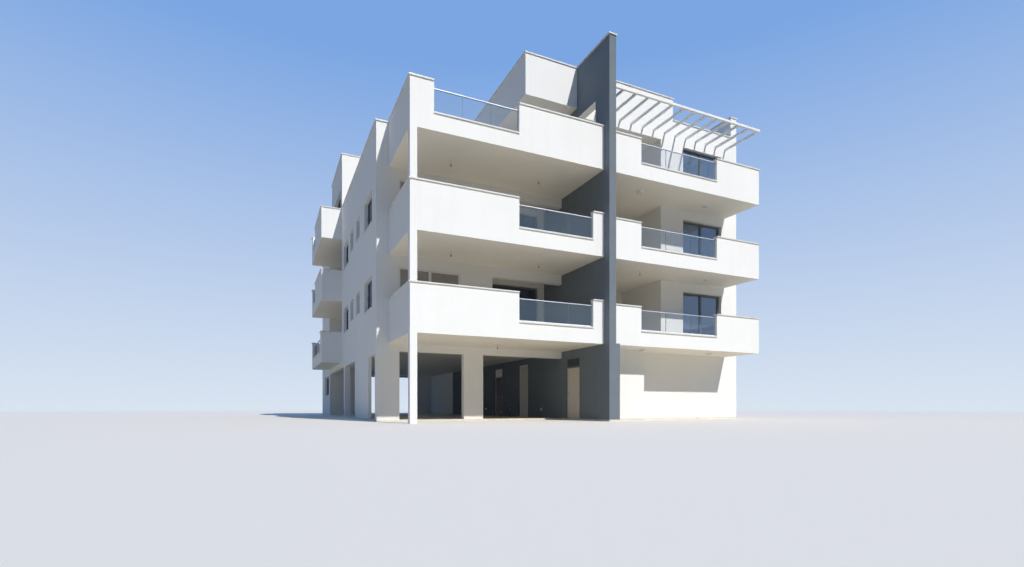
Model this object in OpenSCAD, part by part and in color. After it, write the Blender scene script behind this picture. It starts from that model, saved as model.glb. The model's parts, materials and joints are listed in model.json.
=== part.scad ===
// Four-level apartment block: open parking below, two full floors and a set-back top floor.
// Millimetres. X runs along the street front, Y runs into the plot, Z is up.
// Plan sizes are measured from the front left balcony corner, and place() then centres the block.

/* [Levels] */
// Thickness of the ground slab
ground_t = 60; // [40:5:120]
// Height of the first balcony soffit above the resting face
first_soffit = 2700; // [2500:10:3000]
// Height from one soffit to the next
storey_h = 3050; // [2850:10:3700]
// Thickness of the floor slabs
slab_t = 200; // [150:10:260]
// Height of the wall tops on the roof
roof_wall_h = 1500; // [1200:10:1700]
// Height of the lower roof parapet above the roof soffit
low_roof_h = 610; // [450:10:900]
// Height of the rear left roof parapet above the roof soffit
rear_roof_h = 1170; // [900:10:1400]
// Height of a solid left balcony parapet above its soffit
parapet_h = 1490; // [1400:10:1600]
// Height of a solid right balcony parapet above its soffit
right_parapet_h = 1410; // [1350:10:1600]
// Height of the upstand under the glass above its soffit
upstand_h = 560; // [450:10:700]
// Height of the balcony handrail above its soffit
rail_h = 1335; // [1200:5:1350]
// Height of the blade wall's opening above the third floor
blade_hole_h = 2460; // [2200:10:2550]
// Height of the beam's underside over the third floor's right recess
recess_beam_h = 2560; // [2400:10:2650]

/* [Plan] */
// Length of the left balconies along the front
left_len = 6870; // [6200:10:8300]
// Thickness of the tall blade wall
blade_t = 280; // [220:10:340]
// How far the blade stands in front of the balconies
blade_out = 315; // [150:5:500]
// Length of the right balconies along the front
right_len = 7350; // [6800:10:8900]
// How far the body runs past the right balconies
right_past = 720; // [400:10:900]
// How far the body runs past the left balconies
left_past = 430; // [300:10:600]
// Depth of the left balconies in front of the body
left_deep = 2930; // [2400:10:3550]
// Depth of the right balconies in front of the body
right_deep = 1800; // [1500:10:2400]
// Depth of the recess behind the left balconies
left_recess_deep = 1470; // [1000:10:1800]
// Width of the recess behind the left balconies
left_recess_w = 3010; // [2600:10:3400]
// Depth of the recess behind the right balconies
right_recess_deep = 2645; // [1400:5:2800]
// Width of the recess behind the right balconies
right_recess_w = 3790; // [3200:10:4300]
// Depth of the body from the balcony front to the rear face
body_deep = 21800; // [20000:50:24500]
// Depth from the balcony front to the rear face of the top floor
top_deep = 16200; // [15600:50:17000]
// Depth at which the top floor steps out to the left face
top_step = 11850; // [11400:10:12200]
// Length of the top floor's front on the left of the blade
top_len = 1880; // [1700:10:2150]
// Length of the tall roof box on the left of the blade
box_len = 2183; // [1900:1:2800]
// Setback of the tall roof box behind the balcony front
box_back = 1775; // [1500:5:2200]
// Length of the tall fascia on the right of the blade
fascia_len = 4430; // [3500:10:5500]
// Width of the end blade on the roof's right corner
end_blade_w = 340; // [260:10:450]
// Length of the end blade along the right face
end_blade_len = 3000; // [2000:10:4000]
// Start of the opening in the blade wall behind the balcony front
blade_hole_y = 530; // [400:10:800]

/* [Walls] */
// Thickness of the outer walls
wall_t = 250; // [200:10:300]
// Thickness of the balcony parapets
parapet_t = 150; // [120:5:200]
// Thickness of the copings
cap_t = 40; // [25:5:60]
// Overhang of the copings
cap_out = 40; // [15:5:50]
// Drop of the beams under the slabs
beam_drop = 350; // [250:10:420]
// Drop of the parking beam under the first slab
park_drop = 260; // [200:10:350]
// Side of the slender corner column
column_s = 220; // [180:5:300]

/* [Balconies] */
// Solid length at the left end of the third floor's left front
notch3_from = 736; // [500:1:1200]
// Glass length in the third floor's left front
notch3_len = 2844; // [2000:1:3600]
// Solid length at the left end of the lower left fronts
notch_from = 3580; // [3000:1:4200]
// Glass length in the lower left fronts
notch_len = 2840; // [2000:1:3000]
// Solid length at the left end of the right fronts
right_notch_from = 1342; // [800:1:2000]
// Glass length in the right fronts
right_notch_len = 3686; // [2500:1:4200]
// How far the side balconies stand out from the left face
side_out = 960; // [700:10:1300]
// Depth at which the side balconies start
side_from = 11900; // [11860:10:12900]
// Length of the side balconies
side_len = 5640; // [5500:10:5900]
// Solid length at the front of the first floor's side balcony
side_notch1_from = 640; // [300:10:700]
// Glass length in the first floor's side balcony
side_notch1_len = 4560; // [2500:10:4600]
// Solid length at the front of the upper side balconies
side_notch_from = 3660; // [2600:10:3760]
// Glass length in the upper side balconies
side_notch_len = 1500; // [1000:10:1600]
// How far the walls behind the side balconies are set back
loggia_deep = 1200; // [900:10:1400]
// Distance of the glass's middle from the outer face of its parapet
glass_back = 115; // [75:5:120]
// Thickness of the balcony glass
glass_t = 16; // [10:1:24]
// Longest pane of balcony glass
glass_max = 1300; // [900:10:1700]
// Joint between two panes of balcony glass
glass_joint = 12; // [8:1:20]
// Width of the handrail
rail_w = 50; // [40:1:70]
// Height of the handrail section
rail_t = 30; // [20:1:45]
// Height of the metal foot under the glass
foot_h = 60; // [40:1:90]

/* [Windows] */
// Height of door heads above the floor
head_h = 2480; // [2200:10:2600]
// Height of window heads above the floor
window_head = 2300; // [2100:10:2450]
// Height of wide window sills above the floor
wide_sill = 1150; // [900:10:1250]
// Height of narrow window sills above the floor
narrow_sill = 1400; // [1200:10:1500]
// Width of wide windows
wide_w = 1550; // [1200:10:1700]
// Width of narrow windows
narrow_w = 850; // [600:10:1000]
// Width of the frame profile seen from the front
frame_w = 60; // [45:1:75]
// Depth of the frame profile
frame_t = 70; // [50:1:90]
// Depth of the frames behind the wall face
frame_back = 130; // [80:1:150]
// Thickness of the window glass
pane_t = 24; // [16:1:32]
// Narrowest window that gets a middle bar
bar_from = 1100; // [1000:10:1200]
// Start of the first wide side window behind the front face
wide1_in = 820; // [600:10:1400]
// Start of the first narrow side window behind the front face
narrow1_in = 3520; // [3200:10:3800]
// Start of the second narrow side window behind the front face
narrow2_in = 5220; // [5000:10:5500]
// Start of the second wide side window behind the front face
wide2_in = 6720; // [6500:10:6900]
// Start of the third wide window on the right behind the front face
wide3_in = 10270; // [9700:10:10600]
// Start of the third narrow window on the right behind the front face
narrow3_in = 13270; // [12700:10:13600]
// Distance of the last side window's start from the rear face
last_back = 3200; // [2400:10:3600]
// Start of the sliding door behind the front of the side balcony
side_door_in = 640; // [400:10:900]
// Width of the sliding door on the side balcony
side_door_w = 3600; // [2400:10:3800]
// Start of the left front door from the left balcony end
left_door_x = 340; // [250:10:500]
// Width of the left front door
left_door_w = 2250; // [1800:10:2500]
// Start of the right front door from the blade
right_door_x = 4980; // [4700:10:5300]
// Width of the right front door
right_door_w = 2180; // [1800:10:2400]
// Distance of the terrace doors from the corners of the top floor
top_door_in = 900; // [700:10:1000]
// Width of the terrace doors
top_door_w = 2300; // [1800:10:2400]
// Height of the left recess door's head above the floor
recess_head = 2630; // [2400:10:2640]
// Solid wall on the left of the left recess door
left_recess_side = 640; // [300:10:700]
// Solid wall on the right of the left recess door
right_recess_side = 270; // [150:10:300]
// Start of the right recess door from the blade
right_recess_door_x = 700; // [400:10:1000]
// Width of the right recess door
right_recess_door_w = 2400; // [1800:10:2600]
// Distance of the two groups of rear windows from the side faces
rear_in = 930; // [600:10:1200]
// Step from a rear wide window to the narrow one beside it
rear_narrow_step = 2400; // [2000:10:2500]
// Step from the first to the second wide window of a group
rear_wide_step = 4100; // [3700:10:4400]

/* [Ground floor] */
// Thickness of the dark core wall
core_t = 280; // [220:10:340]
// Depth at which the core wall turns from dark to white
core_white_y = 16500; // [14000:50:18000]
// Extra width of the blade foot at the ground floor
foot_extra = 160; // [80:10:240]
// How far the lobby stands in front of the right wall
lobby_out = 700; // [400:10:900]
// Length of the lobby front from the blade
lobby_len = 2350; // [1800:10:2900]
// Width of the corner pier
corner_pier_w = 796; // [600:1:1000]
// Start of the centre pier from the left balcony end
centre_pier_x = 2736; // [2300:1:3100]
// Width of the centre pier
centre_pier_w = 760; // [600:1:1100]
// Height of the openings of the parking above the floor
bay_h = 2380; // [2200:10:2500]
// Height of the front bay in the left wall above the floor
front_bay_h = 2280; // [2200:10:2380]
// Start of the front bay in the left wall behind the front wall
front_bay_in = 0; // [0:10:600]
// Width of the front bay in the left wall
front_bay_w = 1320; // [1000:10:2000]
// Start of the middle bay in the left wall behind the front face
middle_bay_in = 4770; // [3600:10:5000]
// Width of the middle bay in the left wall
middle_bay_w = 3130; // [2500:10:3300]
// Width of the pier behind the middle bay
bay_pier_w = 400; // [300:10:500]
// Thickness of the left wall between the front and the middle bay
screen_t = 120; // [100:5:200]
// Depth at which the closed room at the rear left starts
room_y = 17300; // [17000:10:17600]
// Width of that room from the left face
room_w = 2030; // [1800:10:2300]
// Start of the way out at the rear from the left face
rear_bay_in = 2830; // [2600:10:3200]
// Width of the way out at the rear
rear_bay_w = 3400; // [2800:10:3800]
// Height of the way out at the rear above the floor
rear_bay_h = 2540; // [2400:10:2580]
// Width of the window at the rear of the parking
parking_window_w = 2300; // [1500:10:2600]
// Distance of that window's start from the rear face
parking_window_back = 4000; // [3200:10:4600]
// Height of the doorway heads above the resting face
doorway_h = 2420; // [2360:10:2440]
// Height of the low doors' transom above the resting face
transom_z = 2010; // [1950:10:2100]

/* [Doors] */
// Depth at which the lobby doorway starts
lobby_door_y = 1580; // [1500:10:1700]
// Width of the lobby doorway
lobby_door_w = 980; // [850:10:1050]
// Depth at which the tall doorway starts
tall_door_y = 5930; // [5600:10:6300]
// Width of the tall doorway
tall_door_w = 870; // [800:10:1000]
// Depth at which the store doorway starts
store_door_y = 8790; // [8500:10:9100]
// Width of the store doorway
store_door_w = 870; // [800:10:1000]
// Width of the door frame profile
jamb_w = 50; // [40:1:70]
// Depth of the door frame profile
jamb_t = 110; // [90:1:140]
// Setback of the door face behind the wall face
door_back = 20; // [14:1:40]
// Thickness of the door leaves
leaf_t = 45; // [38:1:55]
// Gap round the door leaves
leaf_gap = 8; // [6:0.5:10]
// Radius of the hinge knuckles
knuckle_r = 8; // [7:0.5:9]
// Radius of the hinge pins
hinge_pin_r = 4; // [3:0.5:5]
// Running clearance round a hinge pin
pin_play = 0.3; // [0.2:0.1:0.5]
// Height of one knuckle
knuckle_h = 55; // [40:1:70]
// Clearance between two knuckles and of the knuckles from the door face
knuckle_play = 0.5; // [0.3:0.1:1]
// Gap between the knuckles and the door face
hinge_proud = 2; // [1:0.5:4]
// Width of a hinge leaf
hinge_leaf_w = 40; // [30:1:44]
// Distance of the end hinges from the ends of the leaf
hinge_in = 220; // [150:5:300]
// Depth of the panel over a low door behind its frame
transom_in = 15; // [5:1:30]
// Height of the lever handles above the floor
lever_z = 1000; // [900:10:1100]
// Distance of the lever's spindle from the edge of the leaf
lever_in = 70; // [55:1:90]
// Radius of the lever's rose
rose_r = 26; // [20:1:30]
// Thickness of the lever's rose
rose_t = 8; // [5:1:12]
// Radius of the lever's round bar
lever_r = 9; // [7:0.5:12]
// Distance of the lever's bar from the leaf
lever_out = 50; // [40:1:65]
// Length of the lever's bar
lever_len = 120; // [90:1:140]

/* [Pergola] */
// Number of pergola slats
slat_n = 13; // [8:1:18]
// Width of a slat
slat_w = 50; // [25:1:60]
// Height of the slats
slat_h = 100; // [60:1:120]
// Distance from one slat to the next
slat_pitch = 566; // [400:1:590]
// Height of the front beam
pergola_beam_h = 85; // [60:1:160]
// How far the pergola runs past the right balcony
pergola_past = 60; // [0:5:80]
// Width of the front beam
pergola_beam_w = 80; // [60:1:120]
// Height of the pergola underside below the roof soffit
pergola_drop = 35; // [0:5:150]

/* [Lamps] */
// Radius of the round ceiling rose of a hanging lamp
ceiling_rose_r = 45; // [35:1:60]
// Height of that rose
ceiling_rose_h = 25; // [15:1:35]
// Radius of the stem of a hanging lamp
stem_r = 8; // [6:0.5:12]
// Radius of the lamp holder
holder_r = 28; // [20:1:35]
// Height of the lamp holder
holder_h = 70; // [50:1:90]
// Drop of a hanging lamp under the soffit
lamp_drop = 175; // [120:5:250]
// Radius of the small flat lamp over the first floor's right balcony
small_lamp_r = 90; // [60:1:110]
// Height of that lamp
small_lamp_h = 45; // [25:1:60]
// Radius of the ceiling lamps over the right balconies
large_lamp_r = 140; // [100:1:160]
// Height of the ceiling lamps over the right balconies
large_lamp_h = 70; // [50:1:90]
// Radius of the low wall lamps in the parking
wall_lamp_r = 55; // [40:1:70]
// Distance of the wall lamps' faces from the dark wall
wall_lamp_h = 45; // [30:1:60]
// Height of the wall lamps above the resting face
wall_lamp_z = 410; // [300:10:600]
// Shift of the first wall lamp from the middle of its pier
wall_lamp_shift = 375; // [0:5:600]
// Distance of the last wall lamp from the store doorway
wall_lamp_past = 1240; // [600:10:2000]

/* [Hidden] */
$fn = 32;
cut = 20;

// Plan lines
blade_x = left_len;
right_x = left_len + blade_t;
right_end = right_x + right_len;
body_left = -left_past;
body_right = right_end + right_past;
left_recess_x = left_len - left_recess_w;
left_recess_y = left_deep + left_recess_deep;
right_recess_x = right_x + right_recess_w;
right_recess_y = right_deep + right_recess_deep;
side_to = side_from + side_len;
loggia_x = body_left + loggia_deep;
room_x = body_left + room_w;
top_left_x = blade_x - top_len;
box_left_x = blade_x - box_len;
fascia_end_x = right_x + fascia_len;
blade_end = left_recess_y + wall_t;

// Levels
function soffit(k) = first_soffit + (k - 1) * storey_h;
function floor_z(k) = k == 0 ? ground_t : soffit(k) + slab_t;
roof_soffit = soffit(4);
roof_deck = roof_soffit + slab_t;
roof_top = roof_soffit + roof_wall_h;
low_top = roof_soffit + low_roof_h;
rear_top = roof_soffit + rear_roof_h;
parapet_top = soffit(3) + parapet_h;
blade_hole_head = floor_z(3) + blade_hole_h;
recess_beam_z = floor_z(3) + recess_beam_h;

// Places of the ceiling lamps, as shares of the balcony's length and depth. Over the lobby's front they
// stand in the soffit that is left before it.
left_lamp_shares = [0.265, 0.753];
left_lamp_depth = 0.57;
middle_lamp_share = 0.514;
right_lamp_shares = [0.282, 0.739];
right_lamp_depth = 0.556;
lobby_lamp_depth = 0.75;

// Overall box, used to centre the block
min_x = body_left - side_out - cap_out;
max_x = body_right + cap_out;
min_y = -blade_out - cap_out;
max_y = body_deep + cap_out;

// Windows of one side wall: start along the wall, width, sill and head above the floor
function wide(at) = [at, wide_w, wide_sill, window_head];
function narrow(at) = [at, narrow_w, narrow_sill, window_head];
function slider(at, w) = [at, w, 0, head_h];
last_y = body_deep - last_back;
side_windows = [wide(left_deep + wide1_in), narrow(left_deep + narrow1_in), narrow(left_deep + narrow2_in),
                wide(left_deep + wide2_in)];
loggia_door = slider(side_from + side_door_in, side_door_w);
top_right_windows = concat(side_windows, [wide(left_deep + wide3_in)]);
right_windows = concat(top_right_windows, [narrow(left_deep + narrow3_in), wide(last_y)]);
rear_group_w = rear_wide_step + wide_w;
rear_windows = [for (x = [body_left + rear_in, body_right - rear_in - rear_group_w])
                  each [wide(x), narrow(x + rear_narrow_step), wide(x + rear_wide_step)]];
front_left_door = slider(left_door_x, left_door_w);
left_recess_door = [left_recess_x + left_recess_side, left_recess_w - left_recess_side - right_recess_side, 0,
                    recess_head];
front_right_door = slider(right_x + right_door_x, right_door_w);
right_recess_door = slider(right_x + right_recess_door_x, right_recess_door_w);

// Holes of the top floor, whose terrace doors look left, to the front and to the rear
top_front_door = slider(top_left_x + wall_t * 2, top_len - wall_t * 3);
top_step_door = slider(body_left + top_door_in, top_door_w);
top_left_doors = [for (y = [left_recess_y + top_door_in, top_step - top_door_in - top_door_w])
                    slider(y, top_door_w)];
top_corner_door = slider(top_step + 2 * wall_t, top_deep - top_step - 4 * wall_t);
top_rear_windows = [for (x = [body_left + top_door_in, left_recess_x, right_x + top_door_in, right_recess_x])
                      slider(x, top_door_w)];

// Holes of the ground floor
parking_window = [body_deep - parking_window_back, parking_window_w, wide_sill, window_head];
ground_right_windows = [side_windows[3], wide(last_y)];
ground_rear_windows = [rear_windows[3], rear_windows[5]];
screen_from = left_deep + wall_t + front_bay_in + front_bay_w;
screen_to = left_deep + middle_bay_in;
open_bay_from = screen_to + middle_bay_w + bay_pier_w;
left_bays = [[left_deep + wall_t + front_bay_in, front_bay_w, 0, front_bay_h],
             [screen_to, middle_bay_w, 0, bay_h],
             [open_bay_from, room_y - open_bay_from, 0, bay_h]];
rear_bay = [body_left + rear_bay_in, rear_bay_w, 0, rear_bay_h];

// Moves the plan frame to the middle of the block
module place() translate([-(min_x + max_x) / 2, -(min_y + max_y) / 2, 0]) children();

// Box between two corners
module span(a, b) translate(a) cube(b - a);

// Wall along X with holes [start, width, sill, head] above floor z0
module wall_x(x0, x1, y0, z0, z1, holes = [], t = wall_t)
  difference() {
    span([x0, y0, z0], [x1, y0 + t, z1]);
    for (h = holes)
      span([h[0], y0 - cut, z0 + h[2] - (h[2] == 0 ? cut : 0)], [h[0] + h[1], y0 + t + cut, z0 + h[3]]);
  }

// Wall along Y with holes [start, width, sill, head] above floor z0
module wall_y(x0, y0, y1, z0, z1, holes = [], t = wall_t)
  difference() {
    span([x0, y0, z0], [x0 + t, y1, z1]);
    for (h = holes)
      span([x0 - cut, h[0], z0 + h[2] - (h[2] == 0 ? cut : 0)], [x0 + t + cut, h[0] + h[1], z0 + h[3]]);
  }

// Upright panel profile drawn in X and Z, made thick along Y
module upright(y0, t) translate([0, y0 + t, 0]) rotate([90, 0, 0]) linear_extrude(t) children();

// Plan of the floor slabs
module slab_plan(side_balcony = true)
  difference() {
    union() {
      translate([body_left, left_deep]) square([body_right - body_left, body_deep - left_deep]);
      translate([0, 0]) square([left_len, left_deep]);
      translate([right_x, 0]) square([right_len, right_deep]);
      translate([right_x, right_deep]) square([body_right - right_x, left_deep - right_deep]);
      if (side_balcony) translate([body_left - side_out, side_from]) square([side_out, side_len]);
    }
    translate([blade_x, 0]) square([blade_t, blade_end]);
  }

module ground_slab()
  color("gainsboro") place()
    linear_extrude(ground_t)
      union() {
        translate([body_left, left_deep]) square([body_right - body_left, body_deep - left_deep]);
        translate([blade_x, -blade_out]) square([blade_t + foot_extra, left_deep + blade_out]);
        translate([right_x, right_deep - lobby_out]) square([lobby_len, left_deep]);
        translate([right_x, right_deep]) square([body_right - right_x, left_deep]);
      }

module floor_slab(k) color("white") place() translate([0, 0, soffit(k)]) linear_extrude(slab_t) slab_plan();

// Roof over the top floor, which stops short of the rear and left faces
module roof_slab()
  color("white") place()
    translate([0, 0, roof_soffit]) linear_extrude(slab_t)
      difference() {
        union() {
          translate([body_left, top_step]) square([body_right - body_left, top_deep - top_step]);
          translate([box_left_x, box_back]) square([blade_x - box_left_x, top_step - box_back]);
          translate([blade_x, right_deep]) square([body_right - blade_x, top_step - right_deep]);
        }
        translate([blade_x, 0]) square([blade_t, blade_end]);
      }

module blade_wall()
  color("slategray") place()
    difference() {
      span([blade_x, -blade_out, first_soffit], [right_x, blade_end, roof_top]);
      span([blade_x - cut, blade_hole_y, floor_z(3)], [right_x + cut, left_deep, blade_hole_head]);
    }

module core_wall_piers()
  color("slategray") place() {
    span([blade_x, -blade_out, ground_t], [right_x + foot_extra, right_deep - lobby_out, first_soffit]);
    span([blade_x, right_deep - lobby_out, ground_t], [right_x, lobby_door_y, first_soffit]);
    span([blade_x, lobby_door_y + lobby_door_w, ground_t], [blade_x + core_t, tall_door_y, first_soffit]);
    span([blade_x, tall_door_y + tall_door_w, ground_t], [blade_x + core_t, store_door_y, first_soffit]);
    span([blade_x, store_door_y + store_door_w, ground_t], [blade_x + core_t, core_white_y, first_soffit]);
  }

// White rear stretch of the core wall
module core_wall_rear()
  color("white") place()
    span([blade_x, core_white_y, ground_t], [blade_x + core_t, body_deep - wall_t, first_soffit]);

module core_wall_heads()
  color("slategray") place()
    for (d = [[lobby_door_y, lobby_door_w], [tall_door_y, tall_door_w], [store_door_y, store_door_w]])
      span([blade_x, d[0], doorway_h], [blade_x + core_t, d[0] + d[1], first_soffit]);

module parking_piers()
  color("white") place() {
    for (p = [[body_left, corner_pier_w], [centre_pier_x, centre_pier_w]])
      span([p[0], left_deep, ground_t], [p[0] + p[1], left_deep + wall_t, first_soffit - park_drop]);
  }

module parking_beam()
  color("white") place()
    span([body_left, left_deep, first_soffit - park_drop], [blade_x, left_deep + wall_t, first_soffit]);

module corner_column()
  color("white") place() {
    span([0, 0, 0], [column_s, column_s, first_soffit]);
    for (k = [1, 2]) span([0, 0, soffit(k) + parapet_h + cap_t], [column_s, column_s, soffit(k + 1)]);
  }

module ground_side_walls()
  color("white") place() {
    union() {
      difference() {
        wall_y(body_left, left_deep + wall_t, body_deep, ground_t, first_soffit,
               concat(left_bays, [parking_window]));
        span([body_left + screen_t, screen_from, ground_t - cut],
             [body_left + wall_t + cut, screen_to, ground_t + front_bay_h]);
      }
      wall_x(body_left, room_x, room_y, ground_t, first_soffit);
      wall_y(room_x - wall_t, room_y, body_deep - wall_t, ground_t, first_soffit);
    }
    wall_y(body_right - wall_t, right_deep, body_deep, ground_t, first_soffit, ground_right_windows);
  }

module ground_rear_wall()
  color("white") place()
    wall_x(body_left + wall_t, body_right - wall_t, body_deep - wall_t, ground_t, first_soffit,
           concat([rear_bay], ground_rear_windows));

module ground_front_wall()
  color("white") place()
    union() {
      wall_x(right_x, right_x + lobby_len, right_deep - lobby_out, ground_t, first_soffit);
      wall_y(right_x + lobby_len - wall_t, right_deep - lobby_out, right_deep + wall_t, ground_t,
             first_soffit);
      wall_x(right_x + lobby_len - wall_t, body_right - wall_t, right_deep, ground_t, first_soffit);
    }

// Front walls of the first and second floors, stepped back behind the balconies
module front_walls(k)
  color("white") place() {
    union() {
      wall_x(body_left, left_recess_x, left_deep, floor_z(k), soffit(k + 1), [front_left_door]);
      wall_y(left_recess_x - wall_t, left_deep, left_recess_y + wall_t, floor_z(k), soffit(k + 1));
      wall_x(left_recess_x - wall_t, blade_x, left_recess_y, floor_z(k), soffit(k + 1),
             [left_recess_door]);
      span([left_recess_x, left_deep, soffit(k + 1) - beam_drop],
           [blade_x, left_deep + wall_t, soffit(k + 1)]);
    }
    union() {
      wall_x(right_x, right_recess_x + wall_t, right_recess_y, floor_z(k), soffit(k + 1),
             [right_recess_door]);
      wall_y(right_recess_x, right_deep, right_recess_y + wall_t, floor_z(k), soffit(k + 1));
      wall_x(right_recess_x, body_right, right_deep, floor_z(k), soffit(k + 1), [front_right_door]);
    }
  }

module third_front_walls()
  color("white") place() {
    wall_x(top_left_x + wall_t, blade_x, left_recess_y, floor_z(3), roof_soffit, [top_front_door]);
    wall_x(body_left, top_left_x, top_step, floor_z(3), roof_soffit, [top_step_door]);
    union() {
      wall_x(right_x, right_recess_x + wall_t, right_recess_y, floor_z(3), roof_soffit, [right_recess_door]);
      wall_y(right_recess_x, right_deep, right_recess_y + wall_t, floor_z(3), roof_soffit);
      wall_x(right_recess_x, body_right, right_deep, floor_z(3), roof_soffit, [front_right_door]);
      span([right_x, right_deep, recess_beam_z], [right_recess_x, right_recess_y, roof_soffit]);
    }
  }

// Side walls of the first and second floors. The left one steps back behind the side balcony.
module side_walls(k)
  color("white") place() {
    union() {
      wall_y(body_left, left_deep + wall_t, side_from, floor_z(k), soffit(k + 1), side_windows);
      wall_x(body_left, loggia_x, side_from - wall_t, floor_z(k), soffit(k + 1));
      wall_y(loggia_x, side_from - wall_t, side_to + wall_t, floor_z(k), soffit(k + 1), [loggia_door]);
      wall_x(body_left, loggia_x, side_to, floor_z(k), soffit(k + 1));
      wall_y(body_left, side_to, body_deep - wall_t, floor_z(k), soffit(k + 1), [wide(last_y)]);
    }
    wall_y(body_right - wall_t, right_deep + wall_t, body_deep - wall_t, floor_z(k), soffit(k + 1),
           right_windows);
  }

module third_side_walls()
  color("white") place() {
    wall_y(top_left_x, left_recess_y, top_step + wall_t, floor_z(3), roof_soffit, top_left_doors);
    wall_y(body_left, top_step + wall_t, top_deep - wall_t, floor_z(3), roof_soffit, [top_corner_door]);
    wall_y(body_right - wall_t, right_deep + wall_t, top_deep - wall_t, floor_z(3), roof_soffit,
           top_right_windows);
  }

module rear_wall(k)
  color("white") place()
    wall_x(body_left, body_right, body_deep - wall_t, floor_z(k), soffit(k + 1), rear_windows);

module third_rear_wall()
  color("white") place()
    wall_x(body_left, body_right, top_deep - wall_t, floor_z(3), roof_soffit, top_rear_windows);

// Front parapet of height h from x0 to x1 with one notch for the glass
module notched(x0, x1, n0, nlen, k, h)
  upright(0, parapet_t)
    difference() {
      translate([x0, floor_z(k)]) square([x1 - x0, h - slab_t]);
      translate([n0, soffit(k) + upstand_h - cap_t]) square([nlen, h]);
    }

module parapets(k, from, len)
  color("white") place() {
    union() {
      notched(0, left_len, from, len, k, parapet_h);
      span([0, 0, floor_z(k)], [parapet_t, left_deep, soffit(k) + parapet_h]);
    }
    union() {
      notched(right_x, right_end, right_x + right_notch_from, right_notch_len, k, right_parapet_h);
      span([right_end - parapet_t, 0, floor_z(k)], [right_end, right_deep, soffit(k) + right_parapet_h]);
    }
  }

// Side balcony on the left face: front return, run with a glass notch and rear return
module side_balcony(k, from, len)
  color("white") place()
    union() {
      span([body_left - side_out, side_from, floor_z(k)],
           [body_left, side_from + parapet_t, soffit(k) + parapet_h]);
      difference() {
        span([body_left - side_out, side_from, floor_z(k)],
             [body_left - side_out + parapet_t, side_to, soffit(k) + parapet_h]);
        span([body_left - side_out - cut, side_from + from, soffit(k) + upstand_h - cap_t],
             [body_left - side_out + parapet_t + cut, side_from + from + len, soffit(k) + parapet_h + cut]);
      }
      span([body_left - side_out, side_to - parapet_t, floor_z(k)],
           [body_left, side_to, soffit(k) + parapet_h]);
    }

side_notches = [[side_notch1_from, side_notch1_len], [side_notch_from, side_notch_len],
                [side_notch_from, side_notch_len]];
front_notches = [[notch_from, notch_len], [notch_from, notch_len], [notch3_from, notch3_len]];

// Glass runs along X: start, length, level
glass_runs = [for (k = [1:3]) each [
  [front_notches[k - 1][0], front_notches[k - 1][1], k],
  [right_x + right_notch_from, right_notch_len, k]]];

// Bar or sheets of thickness t between heights z0 and z1 above the soffit, on every glass run
module on_runs(t, z0, z1, split = false) {
  for (r = glass_runs, p = stretches(r[1], split))
    span([r[0] + p[0], glass_back - t / 2, soffit(r[2]) + z0],
         [r[0] + p[0] + p[1], glass_back + t / 2, soffit(r[2]) + z1]);
  for (k = [1:3], p = stretches(side_notches[k - 1][1], split))
    let (x = body_left - side_out + glass_back, y = side_from + side_notches[k - 1][0] + p[0])
      span([x - t / 2, y, soffit(k) + z0], [x + t / 2, y + p[1], soffit(k) + z1]);
}

// A run as one stretch, or as equal panes with a joint between them
function stretches(len, split) =
  let (n = split ? ceil(len / glass_max) : 1, pane = (len - (n - 1) * glass_joint) / n)
    [for (i = [0:n - 1]) [i * (pane + glass_joint), pane]];

module balcony_glass()
  color("lightsteelblue", 0.5) place() on_runs(glass_t, upstand_h + foot_h, rail_h - rail_t, true);

// Handrails over the glass and the metal feet under it
module handrails()
  color("silver") place() {
    on_runs(rail_w, rail_h - rail_t, rail_h);
    on_runs(rail_w, upstand_h, upstand_h + foot_h);
  }

// Parapets round the third floor terraces
module terrace_parapets()
  color("white") place() {
    union() {
      span([body_left, left_deep, floor_z(3)], [parapet_t, left_deep + parapet_t, parapet_top]);
      span([body_left, left_deep, floor_z(3)], [body_left + parapet_t, top_step, parapet_top]);
    }
    union() {
      span([body_left, side_to, floor_z(3)], [body_left + parapet_t, body_deep, parapet_top]);
      span([body_left, body_deep - parapet_t, floor_z(3)], [body_right, body_deep, parapet_top]);
      span([body_right - parapet_t, top_deep, floor_z(3)], [body_right, body_deep, parapet_top]);
    }
  }

module roof_parapets()
  color("white") place() {
    union() {
      span([box_left_x, box_back, roof_deck], [blade_x, box_back + wall_t, roof_top]);
      span([box_left_x, box_back, roof_deck], [box_left_x + wall_t, top_step, roof_top]);
    }
    union() {
      span([body_left, top_step, roof_deck], [box_left_x + wall_t, top_step + wall_t, rear_top]);
      span([body_left, top_step, roof_deck], [body_left + wall_t, top_deep, rear_top]);
      span([body_left, top_deep - wall_t, roof_deck], [blade_x, top_deep, rear_top]);
      span([blade_x, top_deep - wall_t, roof_deck], [body_right, top_deep, low_top]);
      span([body_right - wall_t, right_deep, roof_deck], [body_right, top_deep, low_top]);
      span([body_right - end_blade_w, right_deep, roof_deck],
           [body_right, right_deep + end_blade_len, roof_top]);
      span([right_x, right_deep, roof_deck], [body_right, right_deep + wall_t, low_top]);
      span([right_x, right_deep, roof_deck], [fascia_end_x, right_deep + wall_t, roof_top]);
    }
  }

// Slats between a front beam and the wall, level at their tops
module pergola()
  color("white") place()
    union() {
      top = roof_soffit - pergola_drop + pergola_beam_h;
      long = right_len + pergola_past;
      span([right_x, 0, top - pergola_beam_h], [right_x + long, pergola_beam_w, top]);
      for (i = [1:slat_n])
        let (x = right_x + long - (slat_n - i) * slat_pitch - slat_w)
          span([x, 0, top - slat_h], [x + slat_w, right_deep, top]);
    }

// Coping plate between two plan corners at height z
module cap(x0, y0, x1, y1, z) span([x0, y0, z], [x1, y1, z + cap_t]);

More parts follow.
